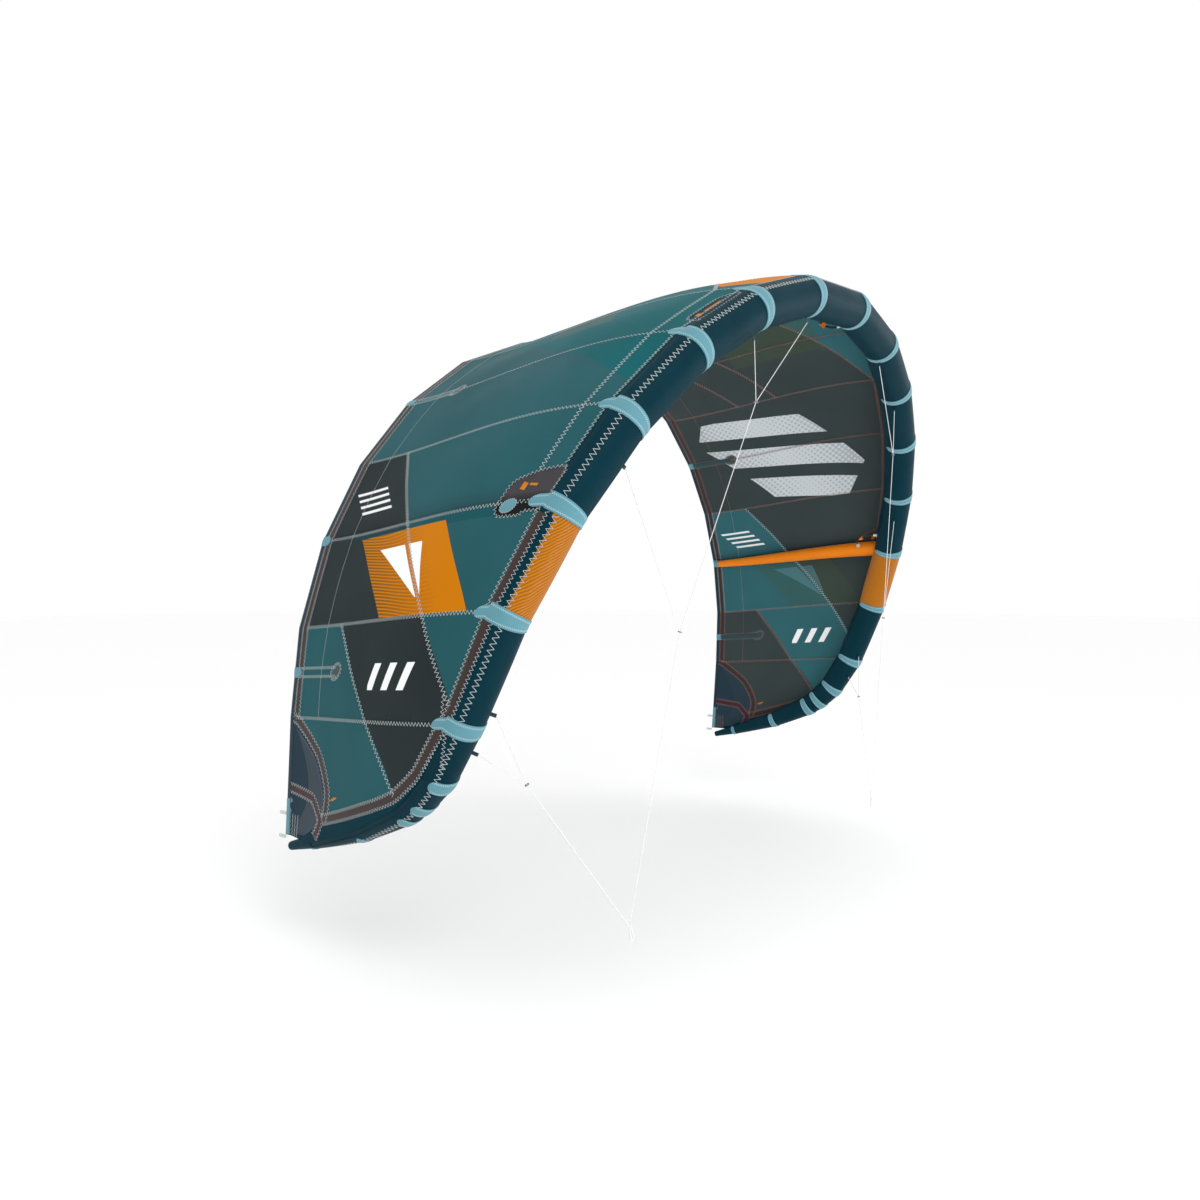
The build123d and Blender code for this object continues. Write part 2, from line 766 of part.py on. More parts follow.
rear_places = (arch_bands + 0.74, arch_bands + 0.92)
rear_length = 46
rear_width = 14
rear_hole = 4
rear_thickness = 3
rear_parts = []
for place in rear_places:
    foot = hem_point(place)
    with BuildPart() as rear_tab:
        with BuildSketch(Plane(origin=foot + Vector(-2, 0, 0), x_dir=(0, 1, 0), z_dir=(1, 0, 0))):
            with Locations((rear_length / 2, 0)):
                SlotOverall(rear_length, rear_width)
            with Locations((rear_length - rear_width / 2, 0)):
                Circle(rear_hole, mode=Mode.SUBTRACT)
        extrude(amount=rear_thickness)
    rear_parts.append(rear_tab.part)
save(Compound(rear_parts + [mirrored(part) for part in rear_parts]), "rear_line_tabs")

for place in rear_places:
    print("rear hole", hem_point(place) + Vector(-0.5, rear_length - rear_width / 2, 0))
print("valve plane origin", valve_plane.origin, "out", valve_plane.z_dir)
print("cap hinge", pin_plane.origin, pin_plane.z_dir)
print("flap pivot", flap_pivot, valve_plane.y_dir)
print("tow point", tow_point, "loop end", tow_point + pull * loop_length)
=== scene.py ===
from math import cos, pi, radians, sin

import bmesh
import bpy
import numpy as np
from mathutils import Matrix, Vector


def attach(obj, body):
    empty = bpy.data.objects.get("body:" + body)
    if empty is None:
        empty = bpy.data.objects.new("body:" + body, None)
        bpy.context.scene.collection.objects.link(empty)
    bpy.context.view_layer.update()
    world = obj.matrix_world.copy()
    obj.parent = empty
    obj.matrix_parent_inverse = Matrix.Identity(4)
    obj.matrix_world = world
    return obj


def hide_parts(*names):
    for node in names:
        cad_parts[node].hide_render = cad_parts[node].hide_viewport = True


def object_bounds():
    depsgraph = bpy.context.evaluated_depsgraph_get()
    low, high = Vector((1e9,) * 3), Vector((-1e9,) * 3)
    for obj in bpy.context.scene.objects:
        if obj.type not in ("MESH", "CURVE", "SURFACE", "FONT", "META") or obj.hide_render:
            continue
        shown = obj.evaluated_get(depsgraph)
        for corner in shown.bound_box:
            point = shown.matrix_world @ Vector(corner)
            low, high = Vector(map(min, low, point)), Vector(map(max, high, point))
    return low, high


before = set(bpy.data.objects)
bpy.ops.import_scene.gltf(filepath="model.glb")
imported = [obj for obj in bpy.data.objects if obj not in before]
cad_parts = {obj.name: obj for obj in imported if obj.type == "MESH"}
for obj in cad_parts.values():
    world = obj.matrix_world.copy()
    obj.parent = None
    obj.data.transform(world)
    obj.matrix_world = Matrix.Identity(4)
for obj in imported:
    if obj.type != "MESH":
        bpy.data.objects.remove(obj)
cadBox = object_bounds()
print("frame loaded")

# places along the kite are counted in seam bands: 0 in the middle, 7 at the shoulder, 8 at the tip,
# negative on the left wing. All lengths are in metres.

leadingEdge = {
    "halfWidth": 1.825, "archHeight": 1.737, "shoulderSweep": 0.681, "sweepPower": 1.92,
    "spacingPower": 0.93, "tipInset": 0.029, "tipSetback": 1.034, "tipDrop": 0.605,
    "tipAngle": 15.5, "shoulderRun": 0.355, "tipRun": 0.709, "tubeRadius": 0.082,
    "tipRadius": 0.015, "taperPower": 8, "wall": 0.0015, "bulge": 0.014,
}
trailingEdge = {
    "radius": 1.8, "rise": 0.058, "centreChord": 1.53, "sweep": 0.185, "power": 1.3,
    "spacing": 0.87, "shoulderTurn": 92, "hemWidth": 0.026, "hemThickness": 0.004,
}
canopy = {
    "lift": 0.0023, "camber": 0.04, "thickness": 0.001, "billow": 0.006,
    "rows": 20, "tipRows": 8, "columns": 96,
}
shoulderPlace, endPlace, strutPlace = 7, 8, 5
bandStops = np.array([*range(8), 7.24, 7.38, 7.47, 7.70, 7.90, 8.0])
allStops = np.concatenate([-bandStops[:0:-1], bandStops])
tipZ = -leadingEdge["archHeight"] - leadingEdge["tipDrop"]
shoulderArc = trailingEdge["radius"] * radians(trailingEdge["shoulderTurn"])
quarterArc = trailingEdge["radius"] * pi / 2
wholeArc = quarterArc + trailingEdge["rise"] - trailingEdge["radius"] - tipZ


def unit(v):
    return v / np.linalg.norm(v, axis=-1, keepdims=True)


def smoothStep(x, low, high):
    t = np.clip((x - low) / (high - low), 0, 1)
    return t * t * (3 - 2 * t)


def leadingCurve(place):
    # quarter ellipse swept back by a power of the way out, then a Bezier curve round the tip
    g = leadingEdge
    way = np.minimum(place, shoulderPlace) / shoulderPlace
    angle = pi / 2 * way ** g["spacingPower"]
    sweep = g["shoulderSweep"] * way ** (g["spacingPower"] * g["sweepPower"])
    arch = np.stack([g["halfWidth"] * np.sin(angle), sweep, -g["archHeight"] * (1 - np.cos(angle))], -1)
    t = np.maximum(place - shoulderPlace, 0)[..., None]
    shoulder = np.array([g["halfWidth"], g["shoulderSweep"], -g["archHeight"]])
    leaving = unit(np.array([0, g["shoulderSweep"] * g["sweepPower"] / (pi / 2), -g["archHeight"]]))
    tip = np.array([g["halfWidth"] - g["tipInset"], g["shoulderSweep"] + g["tipSetback"], tipZ])
    arriving = np.array([0, cos(radians(g["tipAngle"])), -sin(radians(g["tipAngle"]))])
    first, second = shoulder + leaving * g["shoulderRun"], tip - arriving * g["tipRun"]
    curve = shoulder * (1 - t) ** 3 + first * 3 * t * (1 - t) ** 2 + second * 3 * t**2 * (1 - t) + tip * t**3
    return np.where(place[..., None] <= shoulderPlace, arch, curve)


def trailingCurve(place):
    # quarter circle seen from the front, then straight down; the sweep grows with a power of the arc
    g = trailingEdge
    out = shoulderArc * (np.minimum(place, shoulderPlace) / shoulderPlace) ** g["spacing"]
    down = shoulderArc + (wholeArc - shoulderArc) * (place - shoulderPlace)
    arc = np.where(place <= shoulderPlace, out, down)
    angle = np.minimum(arc, quarterArc) / g["radius"]
    drop = g["radius"] * (1 - np.cos(angle)) + np.maximum(0, arc - quarterArc)
    back = g["centreChord"] + g["sweep"] * (arc / wholeArc) ** g["power"]
    return np.stack([g["radius"] * np.sin(angle), back, g["rise"] - drop], -1)


def bothWings(curve, place):
    points = curve(np.abs(place))
    points[..., 0] *= np.where(place < 0, -1, 1)
    return points


def straightRuns(curve, place):
    # straight between the curve's points at the bands
    stops = curve(bandStops)
    points = np.stack([np.interp(np.abs(place), bandStops, stops[:, k]) for k in range(3)], -1)
    points[..., 0] *= np.where(place < 0, -1, 1)
    return points


def radiusAt(place):
    # the tube keeps its radius and tapers late, with a high power of the way out
    a = np.abs(place)
    way = np.where(a <= shoulderPlace, 0.1 * a, 0.7 + 0.3 * (a - shoulderPlace))
    g = leadingEdge
    return g["tipRadius"] + (g["tubeRadius"] - g["tipRadius"]) * (1 - way ** g["taperPower"])


def shareOfBay(place):
    index = np.clip(np.searchsorted(allStops, place, side="right") - 1, 0, len(allStops) - 2)
    low, high = allStops[index], allStops[index + 1]
    return low, high, (place - low) / (high - low)


def bulgeAt(place):
    low, high, share = shareOfBay(place)
    return 1 + leadingEdge["bulge"] * np.sin(pi * share) * smoothStep(high - low, 0.05, 0.9)


def axisFrame(place):
    # axis point, direction along the span, chordwise direction and the one square to both
    place = np.asarray(place, float)
    step = 0.02
    axis = straightRuns(leadingCurve, place)
    high, low = np.minimum(place + step, endPlace), np.maximum(place - step, -endPlace)
    along = unit(straightRuns(leadingCurve, high) - straightRuns(leadingCurve, low))
    back = straightRuns(trailingCurve, place) - axis
    chordwise = unit(back - along * (back * along).sum(-1, keepdims=True))
    return axis, along, chordwise, np.cross(along, chordwise)


def chordAt(place):
    place = np.asarray(place, float)
    return np.linalg.norm(bothWings(trailingCurve, place) - bothWings(leadingCurve, place), axis=-1)


def canopySection(place, v, lift):
    # chord line plus (radius + crown v)(1 - v)^2 square to it
    front, rear = bothWings(leadingCurve, place), bothWings(trailingCurve, place)
    step = 0.05
    high, low = np.minimum(place + step, endPlace), np.maximum(place - step, -endPlace)
    back = rear - front
    chord = np.linalg.norm(back, axis=-1, keepdims=True)
    span = bothWings(leadingCurve, high) - bothWings(leadingCurve, low)
    span = span + bothWings(trailingCurve, high) - bothWings(trailingCurve, low)
    along = unit(span - back * (span * back).sum(-1, keepdims=True) / chord**2)
    out = np.cross(along, back / chord)
    v = v[..., None]
    crown = canopy["camber"] * chord * 27 / 4
    height = (radiusAt(place)[..., None] + canopy["lift"] + crown * v) * (1 - v) ** 2
    return front + back * v + out * (height + np.asarray(lift)[..., None])


def canopySurface(place, v, lift=0.0):
    # straight from band to band at both edges, half way to the smooth arch in between, and a little billow
    place, v = np.broadcast_arrays(np.asarray(place, float), np.asarray(v, float))
    low, high, share = shareOfBay(place)
    billow = canopy["billow"] * np.sin(pi * share) ** 2 * np.sin(pi * np.clip(v, 0, 1))
    billow = billow * smoothStep(high - low, 0.1, 0.9)
    lift = lift + billow
    share = share[..., None]
    ruled = canopySection(low, v, lift) * (1 - share) + canopySection(high, v, lift) * share
    weight = 0.7 * smoothStep(v, 0.02, 0.3) * (1 - smoothStep(v, 0.7, 1))
    return ruled * (1 - weight[..., None]) + canopySection(place, v, lift) * weight[..., None]


def skin(place, back, lift=0.0):
    # back is the distance behind the tube's top: the canopy behind it, the tube's round ahead of it
    place, back = np.broadcast_arrays(np.asarray(place, float), np.asarray(back, float))
    lift = np.broadcast_to(np.asarray(lift, float), place.shape)
    axis, _, chordwise, square = axisFrame(place)
    reach = radiusAt(place) * bulgeAt(place)
    seat = 0.0008 + (canopy["lift"] - 0.0008) * smoothStep(back, -0.03, 0)
    angle = -np.minimum(back, 0) / reach
    ring = square * np.cos(angle)[..., None] - chordwise * np.sin(angle)[..., None]
    onTube = axis + ring * (reach + seat + lift)[..., None]
    onCanopy = canopySurface(place, np.maximum(back, 0) / chordAt(place), lift)
    return np.where((back < 0)[..., None], onTube, onCanopy)


spanPlaces = np.linspace(-endPlace, endPlace, 3201)
spanSteps = np.linalg.norm(np.diff(straightRuns(leadingCurve, spanPlaces), axis=0), axis=1)
spanLengths = np.concatenate([[0], np.cumsum(spanSteps)])
spanLengths -= spanLengths[-1] / 2


def lengthAt(place):
    return np.interp(place, spanPlaces, spanLengths)


def placeAt(length):
    return np.interp(length, spanLengths, spanPlaces)


def gridFaces(rows, columns, closeColumns=False, flip=False):
    index = np.arange(rows * columns).reshape(rows, columns)
    if closeColumns:
        index = np.concatenate([index, index[:, :1]], 1)
    faces = np.stack([index[:-1, :-1], index[1:, :-1], index[1:, 1:], index[:-1, 1:]], -1).reshape(-1, 4)
    return faces[:, ::-1] if flip else faces


def newMesh(name, points, faces, material, uvs=None, slots=None, smooth=True):
    # uvs holds a pair of numbers for each point in each named map; a face that ends on one corner twice
    # is a triangle
    mesh = bpy.data.meshes.new(name)
    points, faces = np.asarray(points, float).reshape(-1, 3), np.asarray(faces)
    sides = np.where(faces[:, 2] == faces[:, 3], 3, 4) if faces.shape[1] == 4 else np.full(len(faces), 3)
    corners = faces[np.arange(faces.shape[1])[None, :] < sides[:, None]]
    mesh.vertices.add(len(points))
    mesh.vertices.foreach_set("co", points.astype(np.float32).ravel())
    mesh.loops.add(len(corners))
    mesh.loops.foreach_set("vertex_index", corners.astype(np.int32))
    mesh.polygons.add(len(faces))
    mesh.polygons.foreach_set("loop_start", np.concatenate([[0], np.cumsum(sides)[:-1]]).astype(np.int32))
    mesh.update(calc_edges=True)
    mesh.polygons.foreach_set("use_smooth", np.full(len(faces), smooth))
    for mapName, pairs in (uvs or {}).items():
        layer = mesh.uv_layers.new(name=mapName)
        layer.data.foreach_set("uv", np.asarray(pairs, np.float32).reshape(-1, 2)[corners].ravel())
    for one in material if isinstance(material, (list, tuple)) else [material]:
        mesh.materials.append(one)
    if slots is not None:
        mesh.polygons.foreach_set("material_index", np.asarray(slots, np.int32))
    mesh.validate()
    made = bpy.data.objects.new(name, mesh)
    bpy.context.scene.collection.objects.link(made)
    return made


def stacked(*grids):
    # grids of points or of map pairs, one after the other in one list
    return np.concatenate([grid.reshape(-1, grid.shape[-1]) for grid in grids])


def rowsBetween(stops, rows, side):
    # so many rows from each band to the next, counted from the left end
    runs = [np.linspace(a, b, rows, endpoint=False) for a, b in zip(stops, stops[1:])]
    places = np.concatenate(runs + [stops[-1:]])
    return places if side > 0 else (-places)[::-1]


def pipeFaces(rows, columns):
    # the outer and the inner grid of a pipe, and the rims at its two ends
    count = rows * columns
    index = np.arange(count).reshape(rows, columns)
    first = np.stack([index[0, 1:], index[0, :-1], index[0, :-1] + count, index[0, 1:] + count], -1)
    last = np.stack([index[-1, :-1], index[-1, 1:], index[-1, 1:] + count, index[-1, :-1] + count], -1)
    return gridFaces(rows, columns), gridFaces(rows, columns, flip=True) + count, np.concatenate([first, last])


def shellFaces(rows, columns):
    # an outer grid, an inner one after it, and the rim that joins them
    count = rows * columns
    outer, inner = gridFaces(rows, columns), gridFaces(rows, columns, flip=True) + count
    index = np.arange(count).reshape(rows, columns)
    rim = np.concatenate([index[0, :], index[1:, -1], index[-1, -2::-1], index[-2::-1, 0]])
    here, there = rim[:-1], rim[1:]
    edge = np.stack([here, there, there + count, here + count], -1)
    return outer, inner, edge


def shell(name, placeGrid, backGrid, low, high, materials):
    # a thin closed sheet between two heights over the skin, with one material on each side
    rows, columns = placeGrid.shape
    outer, inner, edge = shellFaces(rows, columns)
    points = stacked(skin(placeGrid, backGrid, high), skin(placeGrid, backGrid, low))
    faces = np.concatenate([outer, inner, edge])
    slots = np.concatenate([np.zeros(len(outer)), np.ones(len(inner)), np.zeros(len(edge))])
    uvs = {key: stacked(pairs, pairs) for key, pairs in panelMaps(placeGrid, backGrid).items()}
    made = newMesh(name, points, faces, materials, uvs, slots)
    outwards(made)
    return made


def outwards(made):
    # turns the faces of a closed piece outwards if its signed volume is negative
    mesh = made.data
    mesh.calc_loop_triangles()
    corners = np.zeros(len(mesh.loop_triangles) * 3, np.int32)
    mesh.loop_triangles.foreach_get("vertices", corners)
    points = np.zeros(len(mesh.vertices) * 3, np.float32)
    mesh.vertices.foreach_get("co", points)
    a, b, c = points.reshape(-1, 3)[corners].reshape(-1, 3, 3).transpose(1, 0, 2).astype(float)
    middle = points.reshape(-1, 3).mean(0)
    if ((a - middle) * np.cross(b - middle, c - middle)).sum() < 0:
        mesh.flip_normals()


def panelMaps(placeGrid, backGrid):
    chord = chordAt(placeGrid)
    return {
        "panel": np.stack([placeGrid, backGrid / chord], -1),
        "cloth": np.stack([lengthAt(placeGrid), backGrid], -1),
    }


def finishPiece(made, slotName, *nodes):
    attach(made, "kite")
    if nodes:
        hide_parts(*nodes)
    return made


class Val:
    # a number's socket that takes Python's operators; tree is the material being made
    tree = None

    def __init__(self, socket):
        self.socket = socket

    @classmethod
    def math(cls, operation, *inputs, clamp=False):
        node = cls.tree.nodes.new("ShaderNodeMath")
        node.operation, node.use_clamp = operation, clamp
        for place, value in enumerate(inputs):
            cls.feed(node.inputs[place], value)
        return cls(node.outputs[0])

    @classmethod
    def feed(cls, socket, value):
        if isinstance(value, cls):
            value = value.socket
        if isinstance(value, bpy.types.NodeSocket):
            cls.tree.links.new(value, socket)
        else:
            socket.default_value = value

    @classmethod
    def node(cls, kind, settings=None, inputs=None, output=0):
        made = cls.tree.nodes.new(kind)
        for key, value in (settings or {}).items():
            setattr(made, key, value)
        for key, value in (inputs or {}).items():
            cls.feed(made.inputs[key], value)
        return cls(made.outputs[output])

    def __add__(self, other): return self.math("ADD", self, other)
    def __radd__(self, other): return self.math("ADD", other, self)
    def __sub__(self, other): return self.math("SUBTRACT", self, other)
    def __rsub__(self, other): return self.math("SUBTRACT", other, self)
    def __mul__(self, other): return self.math("MULTIPLY", self, other)
    def __rmul__(self, other): return self.math("MULTIPLY", other, self)
    def __truediv__(self, other): return self.math("DIVIDE", self, other)
    def __neg__(self): return self.math("MULTIPLY", self, -1.0)
    def __lt__(self, other): return self.math("LESS_THAN", self, other)
    def __gt__(self, other): return self.math("GREATER_THAN", self, other)
    def __and__(self, other): return self.math("MULTIPLY", self, other)
    def __or__(self, other): return self.math("MAXIMUM", self, other)
    def abs(self): return self.math("ABSOLUTE", self)
    def sin(self): return self.math("SINE", self)
    def fract(self): return self.math("FRACT", self)
    def clamp(self): return self.math("ADD", self, 0.0, clamp=True)
    def rise(self, low, high): return self.math("DIVIDE", self - low, high - low, clamp=True)


def mixColour(mask, first, second):
    # the second colour where the mask is 1; 6, 7 and 2 are the node's colour sockets
    return Val.node("ShaderNodeMix", {"data_type": "RGBA"}, {0: mask, 6: first, 7: second}, output=2)


def noise(coordinates, scale, detail=2.0):
    return Val.node("ShaderNodeTexNoise", {}, {"Vector": coordinates, "Scale": scale, "Detail": detail})


def tone(red, green, blue):
    # display values from 0 to 255, as linear light
    def linear(c):
        c /= 255
        return c / 12.92 if c <= 0.04045 else ((c + 0.055) / 1.055) ** 2.4
    return (linear(red), linear(green), linear(blue), 1.0)


black = (0.0, 0.0, 0.0, 1.0)
tones = {
    "teal": tone(40, 90, 97), "brightTeal": tone(16, 94, 100), "charcoal": tone(42, 51, 53),
    # painted light: the right wing's teal and charcoal are lighter copies of teal and charcoal
    "litTeal": tone(54, 104, 112), "litCharcoal": tone(60, 70, 71), "navy": tone(38, 56, 68),
    "sleeve": tone(2, 48, 60),
    "orange": tone(196, 116, 5), "band": tone(96, 146, 158), "tape": tone(58, 48, 47), "plum": tone(64, 38, 44),
    "white": tone(240, 242, 243), "wave": tone(120, 82, 28), "halftone": tone(205, 212, 216),
    "olive": tone(66, 82, 58),
    "strut": tone(238, 130, 8), "greyTeal": tone(62, 96, 96), "thread": tone(190, 198, 198),
    "warmThread": tone(168, 124, 116),
}


def startMaterial(name, roughness=0.5, sheen=0.0, coat=0.0, specular=0.05, metallic=0.0):
    material = bpy.data.materials.new(name)
    material.use_nodes = True
    Val.tree = material.node_tree
    values = {"Roughness": roughness, "Sheen Weight": sheen, "Coat Weight": coat,
              "Specular IOR Level": specular, "Metallic": metallic}
    for key, value in values.items():
        Val.tree.nodes["Principled BSDF"].inputs[key].default_value = value
    return material


def dress(material, colour, height=None, strength=0.3, distance=0.0006, roughness=None):
    # colour, bump and, where it varies, roughness go to the material's shader
    shader = material.node_tree.nodes["Principled BSDF"]
    Val.feed(shader.inputs["Base Color"], colour)
    if roughness is not None:
        Val.feed(shader.inputs["Roughness"], roughness)
    if height is not None:
        settings = {"Height": height, "Strength": strength, "Distance": distance}
        Val.feed(shader.inputs["Normal"], Val.node("ShaderNodeBump", {}, settings))
    return material


def objectPlace():
    return Val.node("ShaderNodeTexCoord", output=3)


def mapPair(name):
    # the two numbers of a named map
    uv = Val.node("ShaderNodeUVMap", {"uv_map": name})
    separate = Val.tree.nodes.new("ShaderNodeSeparateXYZ")
    Val.feed(separate.inputs[0], uv)
    return Val(separate.outputs[0]), Val(separate.outputs[1])


def ripstop(across, along, spacing):
    # thicker threads in a square grid, and the plain weave between them
    grid = ((across / spacing).fract() < 0.12) | ((along / spacing).fract() < 0.12)
    weave = (across * (2 * pi / 0.0009)).sin() * (along * (2 * pi / 0.0009)).sin()
    return grid, weave


def plainFabric(name, colour, roughness=0.55, spacing=0.004, variation=0.12, sheen=0.15):
    material = startMaterial(name, roughness, sheen)
    grid, weave = ripstop(*mapPair("cloth"), spacing)
    cloudy = noise(objectPlace(), 9.0)
    shade = mixColour((cloudy - 0.5) * variation + 0.5 * variation, colour, black)
    return dress(material, shade, grid * 0.6 + weave * 0.25 + cloudy * 0.6,
                 roughness=cloudy * 0.12 + (roughness - 0.06))


def solidStuff(name, colour, roughness=0.4, grain=900.0, metallic=0.0, variation=0.1, coat=0.0):
    # moulded or braided stuff on the object's own coordinates
    material = startMaterial(name, roughness, coat=coat, specular=0.35, metallic=metallic)
    fine, broad = noise(objectPlace(), grain, 3.0), noise(objectPlace(), 35.0)
    shade = mixColour(broad * variation, colour, black)
    return dress(material, shade, fine, 0.25, 0.0004, fine * 0.2 + (roughness - 0.1))


def between(a, firstPlace, firstShare, lastPlace, lastShare):
    # the share of the chord on a straight line through two points
    slope = (lastShare - firstShare) / (lastPlace - firstPlace)
    return (a - firstPlace) * slope + firstShare


def within(value, low, high):
    return (value > low) & (value < high)


# where the second cloth is cut: place and share of the chord at both ends
cuts = {
    "shoulder": (4, 0.77, 5, 0.55), "strut": (5, 0.55, 6, 0.275), "wing": (6, 0.275, 6.85, 0.0),
    "wingRear": (6, 0.735, 7, 0.445), "tip": (7, 0.445, 7.37, 0.075),
}


def darkPanels(a, v):
    # the panels cut from the second cloth, by the cut lines that run across the wing
    shoulder = within(a, 4, 5) & (v > between(a, *cuts["shoulder"]))
    strut = within(a, 5, 6) & (v > between(a, *cuts["strut"]))
    wing = within(a, 6, 7) & (v > between(a, *cuts["wing"])) & (v < between(a, *cuts["wingRear"]))
    tip = (a > 7) & (v < between(a, *cuts["tip"]))
    return shoulder | strut | wing | tip


def panelColours(wing, a, v, cloudy):
    # the cloths that the wing is sewn from, with the dark ones round the tip
    second = darkPanels(a, v)
    if wing == "left":
        base = mixColour(a < (3.74 - v * 2.1), tones["teal"], tones["brightTeal"])
        greyish = within(a, 1.25, 2.45) & within(v + a * 0.12, 0.62, 0.84)
        base = mixColour(greyish, base, tones["greyTeal"])
        base = mixColour(second, base, tones["charcoal"])
    else:
        triangle = (a < 2) & (v < between(a, 0, 0.42, 2, 0.09))
        # painted light: the right wing's cloths are painted lighter than the same cloths on the left wing
        base = mixColour(second | triangle, tones["litCharcoal"], tones["litTeal"])
    base = mixColour((cloudy - 0.5) * 0.35 + 0.12, base, black)
    navyEdge = between(a, 7, 0.96, 7.24, 0.745)
    navyTip = between(a, 7.24, 0.745, 7.7, 0.43)
    navy = ((a > 7) & (a < 7.24) & (v > navyEdge)) | ((a > 7.24) & (v > navyTip)) | (a > 7.72)
    base = mixColour(navy, base, tones["navy"])
    underTape = (a < 7.38) & (v < between(a, 7, 0.012, 7.38, 0.075))
    underTape = underTape | ((a > 7.38) & (v < between(a, 7.38, 0.075, 7.69, 0.44)))
    return mixColour((a > 7) & underTape, base, tones["sleeve"])


def strutShade(base, wing, a, v):
    # painted shade of the strut seen through the cloth: a painted shadow, dark towards the middle of the kite,
    # and a darker band with a clear edge on its other side
    beside = a - strutPlace
    # the first mask fades a painted shadow in towards the strut, the second is a painted darker band just past
    # it
    strutShadowFade = ((-beside).rise(0.0, 0.28) * -1.0 + 1.0) & (beside < 0) & within(v, 0.03, 0.96)
    near = within(beside, 0.0, 0.115) & within(v + beside * 2.2, 0.03, 0.93)
    base = mixColour(strutShadowFade * strutShadowFade * 0.42, base, (0.01, 0.014, 0.015, 1.0))
    return mixColour(near * 0.5, base, (0.0, 0.06, 0.075, 1.0) if wing == "left" else (0.004, 0.03, 0.04, 1.0))


def squarePrint(base, a, v, inside):
    # the square behind each strut, with fine waves that fade towards the leading edge, and two sails on it
    depth = 0.42
    low = between(a, 5.07, 0.355, 5.99, 0.085)
    inSquare = within(a, 5.07, 5.985) & (v > low) & (v < low + depth)
    ahead = (v - low) / depth
    x, y = (ahead - 0.5) * 0.5, (a - 5.53) * 0.46
    upright = within(y, -0.13, 0.13)
    sailOne = upright & within(x, -0.005, 0.15) & ((x * 1.75 + y) < 0.132)
    sailTwo = upright & within(x, -0.105, -0.03) & ((y - x * 3.3) < 0.222)
    mark = inSquare & (sailOne | sailTwo)
    if inside:
        base = mixColour(inSquare * 0.3, base, tones["olive"])
        return mixColour(mark * 0.35, base, tones["band"])
    swell = (ahead * 5.0 + a * 1.5).sin() * 0.05
    wave = (((a + swell) * 26.0).fract() > 0.45) & ((noise(objectPlace(), 16.0) * 0.3 + ahead) > 0.42)
    orange = mixColour(wave * ((ahead - 0.2) * 1.3).clamp(), tones["orange"], tones["wave"])
    return mixColour(mark, mixColour(inSquare, base, orange), tones["white"])


def topPrint(base, a, v, inside):
    # the printed panel on top, in the middle, with a corner that reaches the leading edge
    corner = (v < 0.25) & (a < (v * 1.55 + 1.58)) & (a < (v * -3.78 + 2.195))
    crest = within(v, 0.012, 0.58) & ((a < 1.25) | corner)
    if inside:
        return mixColour(crest & (v > 0.23), base, mixColour(0.42, base, tones["olive"]))
    return mixColour(crest, base, tones["orange"])


def barPrints(base, a, v):
    # three slanted bars behind the shoulder, and thin ones on the panel before the strut
    x, y = v - 0.33 + (a - 6.6) * 0.05, a - 6.56
    bar = ((x * 11.0 - y * 1.5).fract() < 0.42) & within(y, -0.13, 0.13) & within(x, -0.12, 0.14)
    base = mixColour(bar, base, tones["white"])
    x, y = v - 0.80 + (a - 4.64) * 0.28, a - 4.62
    lines = ((y * 11.0).fract() < 0.4) & within(y, -0.182, 0.182) & within(x, -0.085, 0.07)
    return mixColour(lines * 0.9, base, tones["white"])


def halftoneBars(base, a, v, across, along):
    # big light bars with a halftone that opens towards their ends
    x, y = v - 0.54 + (a - 3.05) * 0.14, (a - 3.05) * 0.30
    dots = ((across * 160.0).sin() * (along * 160.0).sin() * 0.5 + 0.5) > (0.95 - (x * 2.2).abs())
    stripe = (y * 5.2 + x * 0.9 + 0.18).fract() < 0.62
    big = stripe & within(y, -0.25, 0.29) & within(x + y * 0.35, -0.27, 0.27)
    big = big & within(y * 0.9 - x, -0.42, 0.42)
    return mixColour(big * (0.93 - dots * 0.3), base, tones["halftone"])


def canopyCloth(name, wing, inside):
    # wing is "left" or "right"; the prints are on the outer face and only glow through on the inner one
    material = startMaterial(name, 0.6, specular=0.03)
    place, v = mapPair("panel")
    across, along = mapPair("cloth")
    a = place.abs()
    cloudy = noise(objectPlace(), 2.2)
    base = strutShade(panelColours(wing, a, v, cloudy), wing, a, v)
    base = barPrints(topPrint(squarePrint(base, a, v, inside), a, v, inside), a, v)
    if wing == "right":
        base = halftoneBars(base, a, v, across, along)
    # puckers beside the seams: sin along the seam, faded out by the fourth power of the way from them
    grid, weave = ripstop(across, along, 0.005)
    bayPlace = a.fract()
    fromSeams = bayPlace * bayPlace * (1.0 - bayPlace) * (1.0 - bayPlace)
    pucker = (along * (2 * pi / 0.022)).sin() * (fromSeams * -60.0 + 1.0).clamp()
    height = grid * 0.25 + weave * 0.1 + pucker * 0.5 + noise(objectPlace(), 6.0) * 2.0
    return dress(material, base, height, 0.35, 0.0012, cloudy * 0.2 + grid * 0.06 + 0.36)


def accentCloth():
    # fine slanted waves on the coloured sleeve beside each strut
    material = startMaterial("accentCloth", 0.45, 0.1, 0.1)
    across, along = mapPair("cloth")
    bend = noise(objectPlace(), 7.0)
    wave = (across * 60.0 + along * 75.0 + bend * 3.0).fract() > 0.62
    # painted shade: the whole sleeve is darkened by 0.14 towards black
    base = mixColour(0.14, mixColour(wave * 0.75, tones["orange"], tones["wave"]), black)
    grid, weave = ripstop(across, along, 0.004)
    height = grid * 0.5 + weave * 0.3 + noise(objectPlace(), 12.0)
    return dress(material, base, height, roughness=bend * 0.15 + 0.38)


